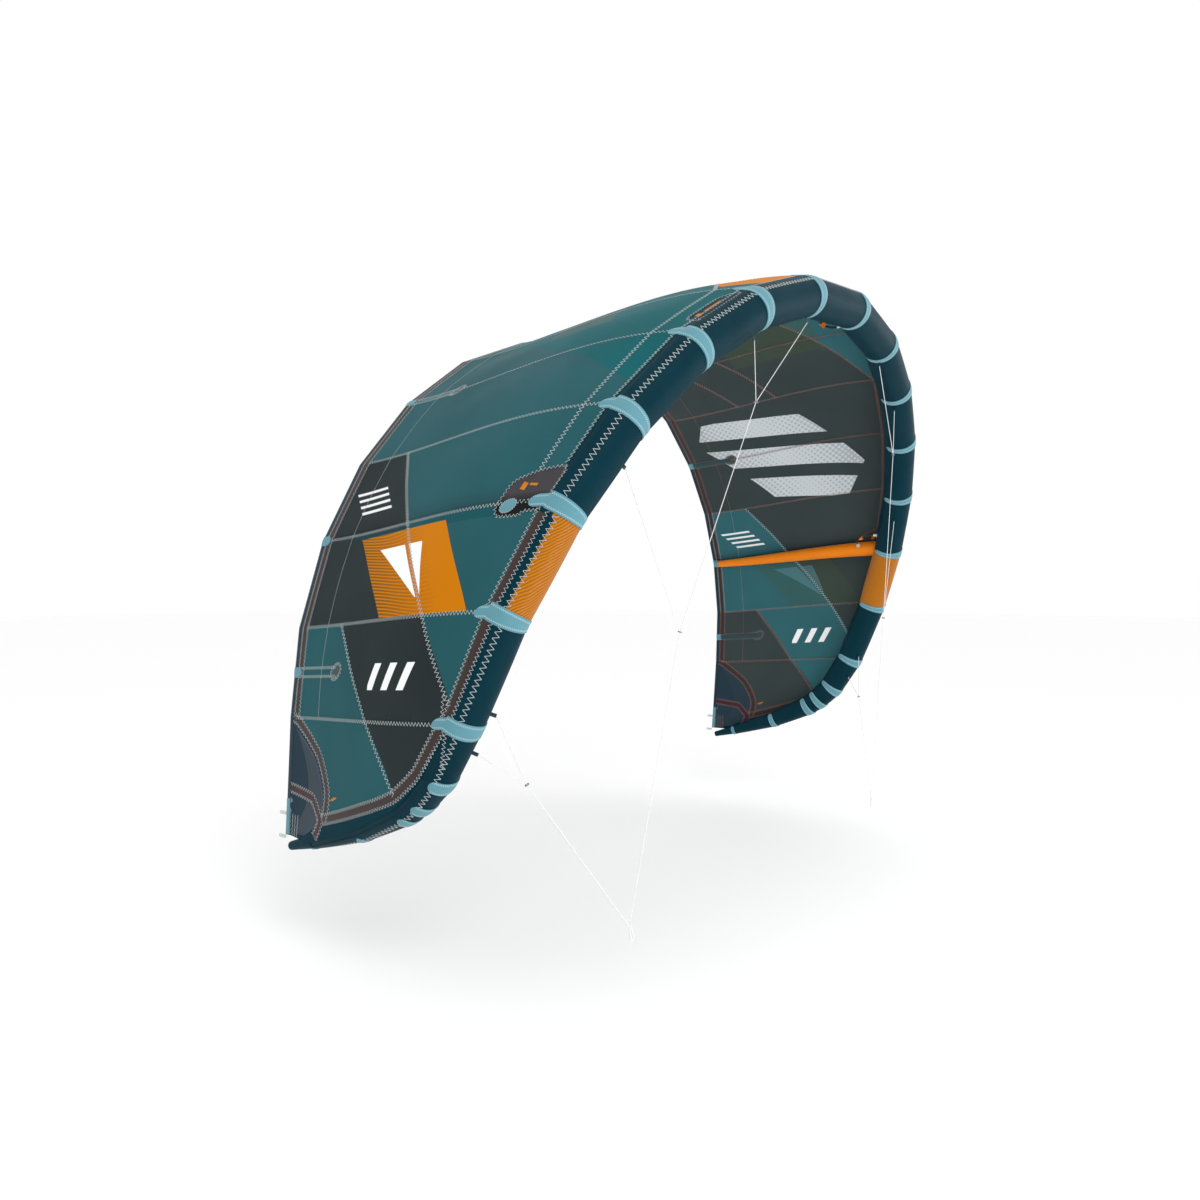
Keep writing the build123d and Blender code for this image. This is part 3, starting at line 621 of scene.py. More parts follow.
def bandCloth():
    # light cover with a fine zigzag sewn close inside each edge
    material = startMaterial("bandCloth", 0.5, 0.15)
    side, along = mapPair("cloth")
    zig = ((along / 0.008).fract() - 0.5).abs() * 0.012 - 0.003
    stitch = (side.abs() - 0.0155 - zig).abs() < 0.0013
    cloudy = noise(objectPlace(), 14.0)
    base = mixColour(cloudy * 0.35, tones["band"], tone(70, 120, 134))
    base = mixColour(stitch * 0.6, base, tone(190, 218, 224))
    grid, weave = ripstop(side, along, 0.003)
    height = grid * 0.3 + weave * 0.3 + stitch * 1.2 + cloudy
    return dress(material, base, height, 0.4, roughness=cloudy * 0.15 + 0.42)


def threadStuff():
    # pale thread, warmer where it crosses the dark cloth of the right wing
    material = startMaterial("threadStuff", 0.6, 0.2)
    place, v = mapPair("panel")
    warm = (place > 0) & (1.0 - darkPanels(place.abs(), v))
    twist = noise(objectPlace(), 700.0).clamp()
    base = mixColour(warm, tones["thread"], tones["warmThread"])
    return dress(material, mixColour(twist * 0.3, base, (0.05, 0.05, 0.05, 1.0)), twist, 0.4, 0.0004)


def strutCloth():
    # bright underside, dark top beside the canopy; the map's second number is the way round
    material = startMaterial("strutCloth", 0.42, 0.1, 0.15)
    way, turn = mapPair("cloth")
    top, edge = (turn < 0.22) | (turn > 0.78), ((turn - 0.22).abs() < 0.006) | ((turn - 0.78).abs() < 0.006)
    cloudy = noise(objectPlace(), 10.0)
    base = mixColour(top, tones["strut"], tones["sleeve"])
    base = mixColour((edge & ((way * 120.0).fract() < 0.6)) * 0.6, base, tones["thread"])
    grid, weave = ripstop(way, turn * 0.3, 0.004)
    return dress(material, mixColour(cloudy * 0.15, base, black), grid * 0.5 + weave * 0.2 + cloudy)


def strutPatchCloth():
    # worn brown-grey cloth that turns black beside the strut, in painted shade of the strut
    material = startMaterial("strutPatchCloth", 0.62, 0.1)
    cloudy = noise(objectPlace(), 12.0)
    # painted shadow of the strut, fading in towards it
    strutPatchShadow = (mapPair("panel")[0].abs() - 4.9).rise(0.0, 0.1)
    base = mixColour(strutPatchShadow, tone(62, 60, 63), (0.003, 0.004, 0.004, 1.0))
    grid, weave = ripstop(*mapPair("cloth"), 0.003)
    return dress(material, mixColour(cloudy * 0.2, base, black), grid * 0.4 + weave * 0.2 + cloudy)


def tipEndCloth():
    # dark like the sleeves, with a light cap on its last few centimetres
    material = startMaterial("tipEndCloth", 0.45)
    spot = objectPlace()
    rear = Val.node("ShaderNodeSeparateXYZ", {}, {0: spot}, output=1)
    base = mixColour(rear > (cadBox[1][1] - 0.045), tones["sleeve"], tones["band"])
    base = mixColour(noise(spot, 35.0) * 0.2, base, black)
    return dress(material, base, noise(spot, 700.0, 3.0), 0.25, 0.0004)


def cordStuff(name, colour, twist):
    material = startMaterial(name, 0.55, 0.2)
    fine = noise(objectPlace(), twist)
    return dress(material, mixColour(fine * 0.25, colour, (0.1, 0.1, 0.1, 1.0)), fine, 0.6, 0.0004)


stuff = {
    "sleeve": plainFabric("sleeveCloth", tones["sleeve"], 0.45, variation=0.3, sheen=0.0),
    "navy": plainFabric("navyCloth", tones["navy"], 0.6),
    "tape": plainFabric("tapeCloth", tones["tape"], 0.65, 0.0016),
    "plum": plainFabric("plumTape", tones["plum"], 0.65, 0.0016),
    "label": plainFabric("labelCloth", tones["orange"], 0.5, 0.0012),
    "strutPatch": strutPatchCloth(), "pocket": plainFabric("pocketCloth", tone(46, 72, 77), 0.6, 0.003),
    "sleevePlain": solidStuff("tipEndCloth", tones["sleeve"], 0.45, 700.0, variation=0.2),
    "accent": accentCloth(), "band": bandCloth(), "thread": threadStuff(), "strut": strutCloth(),
    "hem": plainFabric("hemCloth", tone(30, 50, 60), 0.6, 0.003),
    "rod": solidStuff("rodStuff", tone(190, 195, 180), 0.35),
    "film": solidStuff("bladderFilm", tone(205, 212, 212), 0.25, 60.0),
    "valve": solidStuff("valvePlastic", tone(214, 216, 214), 0.35, 500.0, coat=0.2),
    "cap": solidStuff("capPlastic", tone(36, 38, 40), 0.4, 500.0),
    "clip": solidStuff("clipPlastic", tone(232, 128, 16), 0.38, 500.0, coat=0.2),
    "rubber": solidStuff("hoseRubber", tone(34, 32, 33), 0.5, 260.0),
    "ring": solidStuff("ringAlloy", tone(150, 152, 156), 0.3, 300.0, 0.9),
    "tipEnd": tipEndCloth(),
    "bandPlain": solidStuff("endCapCloth", tones["band"], 0.5, 700.0, variation=0.2),
    "line": cordStuff("lineBraid", tone(236, 237, 236), 900.0),
    "rearLine": cordStuff("pigtailBraid", tone(200, 206, 206), 900.0),
}
canopyStuff = {
    wing: [canopyCloth(f"canopyCloth_{wing}_{face}", wing, face == "inner") for face in ("outer", "inner")]
    for wing in ("left", "right")
}
print("materials made")


view = {"place": (-4.031, -1.496, -1.2965), "turn": 35.91, "tilt": -0.485, "lens": 27.0, "sensor": 36.0}


# place, what it points at, size and power
lights = {
    "keyLight": ((-4.5, -4.0, 3.5), (0, 0.6, -1.0), 3.0, 150),
    "fillLight": ((5.0, -3.0, 0.5), (0, 0.8, -1.2), 3.0, 50),
    "underLight": ((-1.0, -2.0, -2.4), (0.5, 1.0, -0.5), 2.5, 40),
}
floor = {"reach": 60.0, "below": 0.45}


def makeCamera():
    data = bpy.data.cameras.new("camera")
    data.lens, data.sensor_width, data.sensor_fit = view["lens"], view["sensor"], "HORIZONTAL"
    data.clip_end = 200
    made = bpy.data.objects.new("camera", data)
    turn, tilt = radians(view["turn"]), radians(view["tilt"])
    look = Vector((cos(turn) * cos(tilt), sin(turn) * cos(tilt), sin(tilt)))
    made.rotation_mode = "QUATERNION"
    made.rotation_quaternion = look.to_track_quat("-Z", "Y")
    made.location = view["place"]
    bpy.context.scene.collection.objects.link(made)
    bpy.context.scene.camera = made


def makeLight(name, place, target, size, power):
    data = bpy.data.lights.new(name, "AREA")
    data.shape, data.size, data.energy = "DISK", size, power
    made = bpy.data.objects.new(name, data)
    made.location = place
    made.rotation_mode = "QUATERNION"
    made.rotation_quaternion = (Vector(target) - Vector(place)).to_track_quat("-Z", "Y")
    bpy.context.scene.collection.objects.link(made)


def makeFloor():
    material = startMaterial("floorPaint", 0.8)
    soft = mixColour(noise(objectPlace(), 0.6) * 0.04, (0.985, 0.985, 0.985, 1), (0.9, 0.9, 0.9, 1))
    dress(material, soft)
    reach, height = floor["reach"], tipZ - floor["below"]
    corners = [(x * reach, y * reach, height) for x, y in ((-1, -1), (1, -1), (1, 1), (-1, 1))]
    newMesh("floor", corners, [[0, 1, 2, 3]], material, smooth=False)


def makeWorld():
    world = bpy.data.worlds.new("studio")
    world.use_nodes = True
    background = world.node_tree.nodes["Background"]
    background.inputs[0].default_value = (1.0, 1.0, 1.0, 1.0)
    background.inputs[1].default_value = 1.0
    bpy.context.scene.world = world


bpy.context.scene.view_settings.view_transform = "Standard"
makeCamera()
makeFloor()
makeWorld()
for name, settings in lights.items():
    makeLight(name, *settings)
print("camera, floor and lights made")


lineDiameter, hoseDiameter = 0.003, 0.010
lineRoutes = {
    "bridle_centre_line": ([(0.4519, 0.0208, -0.1635), (0.4691, 0.0232, -0.1816), (0.8094, 0.0704, -0.5354),
                            (0.8218, 0.0721, -0.5485)], 0.535),
    "bridle_strut_line": ([(1.4482, 0.2663, -0.8659), (1.4393, 0.2652, -0.8827), (1.1559, 0.2296, -1.4202),
                           (1.1472, 0.2285, -1.4361)], 0.646),
    "bridle_shoulder_line": ([(1.7620, 0.6668, -1.8591), (1.7463, 0.6522, -1.8730), (1.6567, 0.5693, -1.9525),
                              (1.6435, 0.5571, -1.9641)], 0.193),
    "bridle_main_line": ([(0.8442, 0.0718, -0.3184), (0.8429, 0.0719, -0.3363), (0.8292, 0.0729, -0.5371),
                          (0.8280, 0.0730, -0.5550), (0.8343, 0.0761, -0.5723), (1.1368, 0.2249, -1.4271),
                          (1.1430, 0.2280, -1.4440), (1.1455, 0.2300, -1.4617), (1.2926, 0.3501, -2.5052),
                          (1.2950, 0.3520, -2.5230)], 2.285),
    "bridle_tip_line": ([(1.7501, 0.5926, -1.7193), (1.7423, 0.5898, -1.7367), (1.6454, 0.5547, -1.9521),
                         (1.6380, 0.5520, -1.9690), (1.6290, 0.5468, -1.9836), (1.3079, 0.3571, -2.5069),
                         (1.2990, 0.3520, -2.5220)], 0.954),
}
hoseRoutes = {
    "left": [(-1.5786, 0.4395, -0.9356), (-1.5659, 0.4708, -0.9315), (-1.6300, 0.5705, -0.9693),
             (-1.6526, 0.5696, -0.9821)],
    "centre": [(0.1042, 0.1067, -0.0345), (0.1019, 0.1399, -0.0414), (0.0753, 0.1939, 0.0059),
               (0.0545, 0.1933, 0.0214)],
    "right": [(1.5786, 0.4395, -0.9356), (1.5659, 0.4708, -0.9315), (1.6300, 0.5705, -0.9693),
              (1.6526, 0.5696, -0.9821)],
}


def smoothCord(name, points, diameter, material):
    data = bpy.data.curves.new(name, "CURVE")
    data.dimensions = "3D"
    spline = data.splines.new("NURBS")
    spline.points.add(len(points) - 1)
    for knot, place in zip(spline.points, points):
        knot.co = (*place, 1.0)
    spline.order_u, spline.use_endpoint_u = 3, True
    spline.resolution_u = 8
    data.bevel_depth, data.bevel_resolution, data.use_fill_caps = diameter / 2, 3, True
    data.materials.append(material)
    made = bpy.data.objects.new(name, data)
    bpy.context.scene.collection.objects.link(made)
    return made


def makeLines():
    for name, (points, length) in lineRoutes.items():
        for wing, side in (("right", 1), ("left", -1)):
            route = [(x * side, y, z) for x, y, z in points]
            made = smoothCord(f"{name}_{wing}", route, lineDiameter, stuff["line"])
            finishPiece(made, "line_white", f"{name}_{wing}")


def makeHoses():
    for name, route in hoseRoutes.items():
        made = smoothCord(f"one_pump_hose_{name}", route, hoseDiameter, stuff["rubber"])
        finishPiece(made, "rubber_black", "one_pump_hoses")


makeLines()
makeHoses()
print("lines and hoses made")


sleeveBays = {"centre": (0, 3), "middle": (3, 5), "accent": (5, 6), "shoulder": (6, 7.24), "tip": (7.24, 7.9)}
valveSpot = {"place": -2.55, "angle": -12.0, "hole": 0.0165}


def tubeShell(name, places, around, material, hole=None):
    # rings of the tube's radius at each place; the second number of the map is the distance round
    turns = np.linspace(0, 2 * pi, around + 1)
    placeGrid, turnGrid = np.meshgrid(places, turns, indexing="ij")
    axis, _, chordwise, square = axisFrame(placeGrid)
    reach = radiusAt(placeGrid) * bulgeAt(placeGrid)
    ring = square * np.cos(turnGrid)[..., None] - chordwise * np.sin(turnGrid)[..., None]
    outer = axis + ring * reach[..., None]
    inner = axis + ring * (reach - leadingEdge["wall"])[..., None]
    outerFaces, innerFaces, rims = pipeFaces(*placeGrid.shape)
    if hole is not None:
        # faces whose middle lies within the hole are left out
        centre, size = hole
        middle = outer.reshape(-1, 3)[outerFaces].mean(1)
        keep = np.linalg.norm(middle - centre, axis=1) > size
        outerFaces, innerFaces = outerFaces[keep], innerFaces[keep]
    cloth = np.stack([lengthAt(placeGrid), -turnGrid * reach], -1)
    panel = np.stack([placeGrid, -turnGrid * 0.05], -1)
    maps = {"panel": stacked(panel, panel), "cloth": stacked(cloth, cloth)}
    made = newMesh(name, stacked(outer, inner), np.concatenate([outerFaces, innerFaces, rims]), material, maps)
    mergeDoubles(made)
    outwards(made)
    return made


def mergeDoubles(made, distance=1e-6):
    work = bmesh.new()
    work.from_mesh(made.data)
    bmesh.ops.remove_doubles(work, verts=work.verts, dist=distance)
    work.to_mesh(made.data)
    work.free()


def makeSleeves():
    for bay, (inner, outer) in sleeveBays.items():
        stops = bandStops[(bandStops >= inner) & (bandStops <= outer)]
        for wing, side in (("right", 1), ("left", -1)):
            rows, hole, around = 14, None, 72
            if bay == "centre" and wing == "left":
                rows, around = 60, 112  # finer, for a round hole
                axis, _, chordwise, square = axisFrame(valveSpot["place"])
                turn = radians(valveSpot["angle"])
                out = chordwise * cos(turn) + square * sin(turn)
                hole = (axis + out * radiusAt(valveSpot["place"]), valveSpot["hole"])
            kind, name = "accent" if bay == "accent" else "sleeve", f"leading_edge_{bay}_sleeve_{wing}"
            made = tubeShell(name, rowsBetween(stops, rows, side), around, stuff[kind], hole)
            finishPiece(made, f"{kind}_fabric", name)


makeSleeves()
print("sleeves made")


panelBays = {"centre": (0, 1), "inner": (1, 3), "middle": (3, 5), "outer": (5, 7), "tip": (7, 7.9)}


def makePanels():
    hem = trailingEdge["hemWidth"] - 0.004
    for bay, (inner, outer) in panelBays.items():
        stops = bandStops[(bandStops >= inner) & (bandStops <= outer)]
        rows = canopy["tipRows"] if bay == "tip" else canopy["rows"]
        for wing, side in (("right", 1), ("left", -1)):
            shares = np.linspace(0, 1, canopy["columns"])
            placeGrid, shareGrid = np.meshgrid(rowsBetween(stops, rows, side), shares, indexing="ij")
            backGrid = shareGrid * (chordAt(placeGrid) - hem)
            half = canopy["thickness"] / 2
            made = shell(f"canopy_{bay}_panel_{wing}", placeGrid, backGrid, -half, half, canopyStuff[wing])
            finishPiece(made, "canopy_fabric", f"canopy_{bay}_panel_{wing}")
            edge = skin(placeGrid, backGrid)


def makeHem():
    # a flat fold: its section is a long rounded loop that straddles the canopy's edge
    g = trailingEdge
    for wing, side in (("right", 1), ("left", -1)):
        turns = np.linspace(0, 2 * pi, 20, endpoint=False)
        placeGrid, turnGrid = np.meshgrid(rowsBetween(bandStops[:-1], 12, side), turns, indexing="ij")
        stretch = np.sign(np.cos(turnGrid)) * np.abs(np.cos(turnGrid)) ** 0.5
        backGrid = chordAt(placeGrid) - g["hemWidth"] / 2 + stretch * g["hemWidth"] / 2
        lift = np.sin(turnGrid) * g["hemThickness"] / 2
        points = skin(placeGrid, np.minimum(backGrid, chordAt(placeGrid)), lift)
        rows, columns = placeGrid.shape
        faces = gridFaces(rows, columns, closeColumns=True)
        ends, hub = np.arange(columns), np.full(columns, rows * columns)
        capFaces = np.stack([ends, np.roll(ends, -1), hub, hub], -1)
        lastFaces = np.stack([np.roll(ends, -1), ends, hub + 1, hub + 1], -1)
        lastFaces[:, :2] += (rows - 1) * columns
        centres = np.stack([points[0].mean(0), points[-1].mean(0)])
        points, faces = stacked(points, centres), np.concatenate([faces, capFaces, lastFaces])
        maps = panelMaps(placeGrid, backGrid)
        maps = {key: stacked(pairs, pairs[0, :1], pairs[-1, :1]) for key, pairs in maps.items()}
        made = newMesh(f"trailing_edge_hem_{wing}", points, faces, stuff["hem"], maps)
        outwards(made)
        finishPiece(made, "hem_fabric", "trailing_edge_hem")


makePanels()
makeHem()
print("canopy made")


def densePath(places, backs, step=0.01):
    # straight between the given corners on the unrolled skin, with a point about every step
    places, backs = np.asarray(places, float), np.asarray(backs, float)
    pieces = []
    for i in range(len(places) - 1):
        ends = skin(places[i : i + 2], backs[i : i + 2])
        count = max(3, int(np.linalg.norm(ends[1] - ends[0]) / step))
        share = np.linspace(0, 1, count, endpoint=i == len(places) - 2)
        pieces.append(np.stack([places[i] + (places[i + 1] - places[i]) * share,
                                backs[i] + (backs[i + 1] - backs[i]) * share], -1))
    return np.concatenate(pieces)


def pathFrame(path):
    # points, the way along, the surface's normal and the way across, at each point of a path on the skin
    place, back = path[:, 0], path[:, 1]
    points = skin(place, back)
    way = unit(np.gradient(points, axis=0))
    step = 0.004
    sideways = skin(place, back + step) - skin(place, back - step)
    along = skin(np.clip(place + 0.01, -8, 8), back) - skin(np.clip(place - 0.01, -8, 8), back)
    normal = unit(np.cross(along, sideways))
    return points, way, normal, unit(np.cross(normal, way))


def besidePath(path, offsets, lift):
    # steps sideways along the skin itself: across = p (d/dplace) + q (d/dback), by least squares
    place, back = path[:, 0], path[:, 1]
    _, _, _, across = pathFrame(path)
    low, high = np.clip(place - 0.01, -8, 8), np.clip(place + 0.01, -8, 8)
    perPlace = (skin(high, back) - skin(low, back)) / (high - low)[:, None]
    perBack = (skin(place, back + 0.003) - skin(place, back - 0.003)) / 0.006
    aa, bb, ab = (perPlace**2).sum(-1), (perBack**2).sum(-1), (perPlace * perBack).sum(-1)
    ra, rb = (perPlace * across).sum(-1), (perBack * across).sum(-1)
    fall = aa * bb - ab**2
    p, q = (ra * bb - rb * ab) / fall, (rb * aa - ra * ab) / fall
    level = np.ptp(back) < 0.001 or np.ptp(chordAt(place) - back) < 0.001
    if level:
        p, q = p * 0, np.where(np.gradient(place) > 0, 1.0, -1.0)
    places = np.clip(place[:, None] + p[:, None] * offsets, -8, 8)
    backs = np.minimum(back[:, None] + q[:, None] * offsets, chordAt(places) - 0.0003)
    return skin(places, backs, lift), places, backs


def ribbonMesh(path, width, low, high, columns=5):
    # a strip of that width along a path, closed, between two heights over the skin
    offsets = np.linspace(-0.5, 0.5, columns) * width
    top, places, backs = besidePath(path, offsets[None, :], high)
    bottom = besidePath(path, offsets[None, :], low)[0]
    outer, inner, edge = shellFaces(len(path), columns)
    points = skin(path[:, 0], path[:, 1])
    run = np.concatenate([[0], np.cumsum(np.linalg.norm(np.diff(points, axis=0), axis=1))])
    cloth = np.stack(np.meshgrid(run, offsets, indexing="ij"), -1)
    panel = np.stack([places, backs / chordAt(places)], -1)
    maps = {"cloth": stacked(cloth, cloth), "panel": stacked(panel, panel)}
    return stacked(top, bottom), np.concatenate([outer, inner, edge]), maps


def patchMesh(corners, low, high, rings=9, rounding=9):
    # rings of the outline drawn in towards its middle; corners as (place, back) round the patch
    corners = np.asarray(corners, float)
    steps = np.linspace(0, 1, 14, endpoint=False)[None, :, None]
    outline = (corners[:, None] * (1 - steps) + np.roll(corners, -1, 0)[:, None] * steps).reshape(-1, 2)
    kernel = np.hanning(rounding + 2)[1:-1]
    count = len(outline)
    smoothed = [np.convolve(np.tile(outline[:, k], 3), kernel / kernel.sum(), "same") for k in range(2)]
    outline = np.stack(smoothed, -1)[count : 2 * count]
    middle = outline.mean(0)
    grow = np.linspace(0.02, 1, rings)[:, None, None]
    grid = middle + (outline - middle)[None] * grow
    top, bottom = skin(grid[..., 0], grid[..., 1], high), skin(grid[..., 0], grid[..., 1], low)
    quads = gridFaces(rings, count, closeColumns=True)
    total = rings * count
    index = np.arange(count)
    last = total - count
    after, hub = np.roll(index, -1), np.full(count, 2 * total)
    rim = np.stack([index + last, after + last, after + last + total, index + last + total], -1)
    topHub = np.stack([index, after, hub, hub], -1)
    bottomHub = np.stack([after + total, index + total, hub + 1, hub + 1], -1)
    points = stacked(top, bottom, *[skin(middle[:1], middle[1:], lift) for lift in (high, low)])
    everywhere = stacked(grid, grid, middle, middle)
    panel = np.stack([everywhere[:, 0], everywhere[:, 1] / chordAt(everywhere[:, 0])], -1)
    cloth = np.stack([lengthAt(everywhere[:, 0]), everywhere[:, 1]], -1)
    faces = np.concatenate([quads, quads[:, ::-1] + total, rim, topHub, bottomHub])
    return points, faces, {"cloth": cloth, "panel": panel}, np.concatenate([outline, outline[:2]])


def zigzagMesh(path, period, width, thread=0.0011, depth=0.0016):
    # legs run from side to side every half period; each corner holds a small flat section of thread
    points = skin(path[:, 0], path[:, 1])
    run = np.concatenate([[0], np.cumsum(np.linalg.norm(np.diff(points, axis=0), axis=1))])
    count = max(4, int(run[-1] / (period / 2)))
    at = np.linspace(0, run[-1], count + 1)
    fine = np.stack([np.interp(at, run, path[:, 0]), np.interp(at, run, path[:, 1])], -1)
    way = pathFrame(fine)[1] * thread / 2
    side = np.where(np.arange(count + 1) % 2 == 0, 0.5, -0.5)[:, None] * width
    top, bottom = besidePath(fine, side, depth)[0][:, 0], besidePath(fine, side, -depth)[0][:, 0]
    ring = np.stack([top + way, top - way, bottom - way, bottom + way], 1)
    faces = gridFaces(count + 1, 4, closeColumns=True)
    last = count * 4
    caps = np.array([[0, 1, 2, 3], [last + 3, last + 2, last + 1, last]])
    panel = np.repeat(np.stack([fine[:, 0], fine[:, 1] / chordAt(fine[:, 0])], -1)[:, None], 4, 1)
    return ring.reshape(-1, 3), np.concatenate([faces, caps]), {"panel": panel.reshape(-1, 2)}


def clothShell(top, bottom, cloth):
    # a closed shell between two grids of points, with its cloth map
    faces = np.concatenate(shellFaces(*top.shape[:2]))
    return stacked(top, bottom), faces, {"cloth": stacked(cloth, cloth)}


def turnedOut(points, faces):
    # faces turned over where the closed mesh's signed volume comes out negative
    a, b, c, d = np.moveaxis(points[faces] - points.mean(0), 1, 0)
    volume = (a * (np.cross(b, c) + np.cross(c, d))).sum()
    return faces if volume > 0 else faces[:, [1, 0, 3, 2]]


def joinParts(name, parts, material, slotName, smooth=True):
    points, faces, start = [], [], 0
    keys = parts[0][2].keys()
    for part in parts:
        points.append(part[0])
        faces.append(turnedOut(part[0], part[1]) + start)
        start += len(part[0])
    maps = {key: np.concatenate([part[2][key] for part in parts]) for key in keys}
    made = newMesh(name, np.concatenate(points), np.concatenate(faces), material, maps, smooth=smooth)
    return finishPiece(made, slotName)


def alongChord(place, first, last, count=60):
    # a path at one place, between two shares of the chord
    places = np.full(count, float(place))
    return np.stack([places, np.linspace(first, last, count) * chordAt(places)], -1)


def byShares(corners, side):
    # corners as (place, share of the chord), put on one wing
    places = np.array([c[0] for c in corners], float) * side
    backs = np.array([c[1] for c in corners]) * chordAt(places)
    return densePath(places, backs)


def alongSpan(first, last, back, fromRear=False):
    # a path at one distance behind the tube's top, or ahead of the trailing edge
    places = np.linspace(first, last, max(8, int(abs(lengthAt(last) - lengthAt(first)) / 0.012)))
    backs = chordAt(places) - back if fromRear else np.full(len(places), back)
    return np.stack([places, backs], -1)


# each zigzag's period, width and thread
stitches = {
    "seam": (0.0165, 0.0145, 0.0016), "cut": (0.0170, 0.0180, 0.0018), "tip": (0.016, 0.008, 0.0020),
    "edge": (0.0165, 0.0135, 0.0015), "tube": (0.022, 0.021, 0.0018), "thin": (0.012, 0.003, 0.0010),
    "small": (0.009, 0.007, 0.0012),
}
# first and last place, and metres behind the tube's top or, where it says True, ahead of the rear edge
spanStitches = [
    ("edge", 0, 7.0, 0.062, True), ("edge", 0, 7.0, 0.028, True), ("edge", 0, 7.85, 0.006, True),
    ("thin", 0, 7.0, 0.205, True), ("edge", 0, 4.62, 0.024, False), ("tube", 0, 4.93, -0.048, False),
    ("edge", 5.07, 6.98, 0.019, False), ("edge", 5.07, 6.98, -0.022, False),
    ("tube", 5.07, 7.85, -0.055, False),
]
# corners of the cuts and tapes as place and share of the chord
cutSeams = [[cut[:2], cut[2:]] for cut in {**cuts, "wing": (6, 0.275, 6.84, 0.012)}.values()]
rightCutSeams = [[(1, 0.63), (2, 0.49)], [(1, 0.81), (2, 0.655)]]
printSeam = [(0, 0.42), (2, 0.092), (4.68, 0.088)]
tipTapeCorners = [(7.0, 0.965), (7.02, 0.945), (7.24, 0.745), (7.46, 0.595), (7.685, 0.43)]
lowTapeCorners = [(7.69, 0.44), (7.52, 0.20), (7.38, 0.075), (7.22, 0.035), (7.0, 0.012), (6.95, 0.0)]
secondTapeCorners = [(7.53, 0.99), (7.56, 0.70), (7.70, 0.46), (7.84, 0.20)]


def stitchPaths(side):
    # every sewn line of one wing, with the kind of its zigzag
    paths = []
    for place in range(0 if side > 0 else 1, shoulderPlace + 1):
        paths.append(("seam", alongChord(side * place, 0.028, 0.955)))
    cuts = cutSeams + (rightCutSeams if side > 0 else []) + [printSeam]
    paths += [("cut", byShares(cut, side)) for cut in cuts]
    for row in range(4):
        paths.append(("tip", alongSpan(side * 7.73, side * 7.89, 0.026 + 0.019 * row, True)))
    for kind, first, last, back, fromRear in spanStitches:
        paths.append((kind, alongSpan(side * first, side * last, back, fromRear)))
    for corners, width in ((tipTapeCorners, 0.036), (lowTapeCorners, 0.036), (secondTapeCorners, 0.034)):
        middle = byShares(corners, side)
        for edge in (-width / 2, width / 2):
            _, places, backs = besidePath(middle, np.array([[edge]]), 0.0)
            paths.append(("edge", np.concatenate([places, backs], 1)))
    for place in (7.60, 7.68, 7.76):
        paths.append(("small", byShares([(place, 0.985), (place + 0.03, 0.93), (place + 0.06, 0.985)], side)))
    return paths


def makeStitching():
    for wing, side in (("right", 1), ("left", -1)):
        parts = [zigzagMesh(path, *stitches[kind]) for kind, path in stitchPaths(side)]
        joinParts(f"seam_stitching_{wing}", parts, stuff["thread"], "line_white", smooth=False)


makeStitching()


def makeTapes():
    for wing, side in (("right", 1), ("left", -1)):
        rear = alongSpan(0, side * 7.0, 0.044, True)
        strip = [ribbonMesh(rear, 0.034, -0.0009, 0.0009),
                 ribbonMesh(byShares(tipTapeCorners, side), 0.036, -0.0010, 0.0010),
                 ribbonMesh(byShares(lowTapeCorners, side), 0.036, -0.0009, 0.0012),
                 ribbonMesh(alongSpan(side * 5.1, side * 7.0, -0.002), 0.036, -0.0006, 0.0011)]
        joinParts(f"edge_tapes_{wing}", strip, stuff["tape"], "hem_fabric")
        joinParts(f"tip_tape_{wing}", [ribbonMesh(byShares(secondTapeCorners, side), 0.034, -0.0012, 0.0012)],
                  stuff["plum"], "hem_fabric")
        root = [ribbonMesh(alongSpan(0, side * 5.1, -0.010), 0.062, -0.0006, 0.0007, 17),
                ribbonMesh(alongSpan(side * 5.1, side * 7.9, -0.036), 0.034, -0.0006, 0.0006, 9)]
        joinParts(f"root_strip_{wing}", root, stuff["sleeve"], "sleeve_fabric")


makeTapes()
print("stitching and tapes made")


band = {
    "width": 0.044, "wrap": 232.0, "low": -0.0004, "high": 0.0025,
    "tail": 0.058, "strutTail": 0.072, "tipTail": -0.035, "broader": 1.12, "narrower": 0.9,
}


def bandPart(stop):
    # half width shrinks to nothing at both ends as a half ellipse; wraps forward round the tube
    reach = float(radiusAt(stop))
    size = min(1.0, reach / leadingEdge["tubeRadius"] + 0.25)
    onTip = abs(stop) > shoulderPlace
    tail = band["tipTail" if onTip else "strutTail" if abs(stop) == strutPlace else "tail"]
    half = band["width"] / 2 * size * band["narrower" if onTip else "broader"]
    start, end = tail * size, -reach * radians(band["wrap"])
    backs = end + (start - end) * (0.5 - 0.5 * np.cos(np.linspace(0, pi, 56)))
    endRun = half * 1.5
    near = np.clip(np.minimum(start - backs, backs - end) / endRun, 0, 1)
    halves = half * np.sqrt(np.clip(1 - (1 - near) ** 2, 0.0004, 1))
    across = np.linspace(-1, 1, 9)
    offset = halves[:, None] * across[None, :]
    backGrid = np.repeat(backs[:, None], 9, 1)
    placeGrid = placeAt(lengthAt(stop) + offset)
    return offset, placeGrid, backGrid


def makeBands():
    parts = []
    for stop in [s for s in allStops if abs(s) < endPlace]:
        offset, placeGrid, backGrid = bandPart(float(stop))
        top, bottom = (skin(placeGrid, backGrid, band[side]) for side in ("high", "low"))
        parts.append(clothShell(top, bottom, np.stack([offset, backGrid], -1)))
    made = joinParts("seam_bands_cover", parts, stuff["band"], "band_fabric")
    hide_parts("seam_bands")


makeBands()
print("bands made")


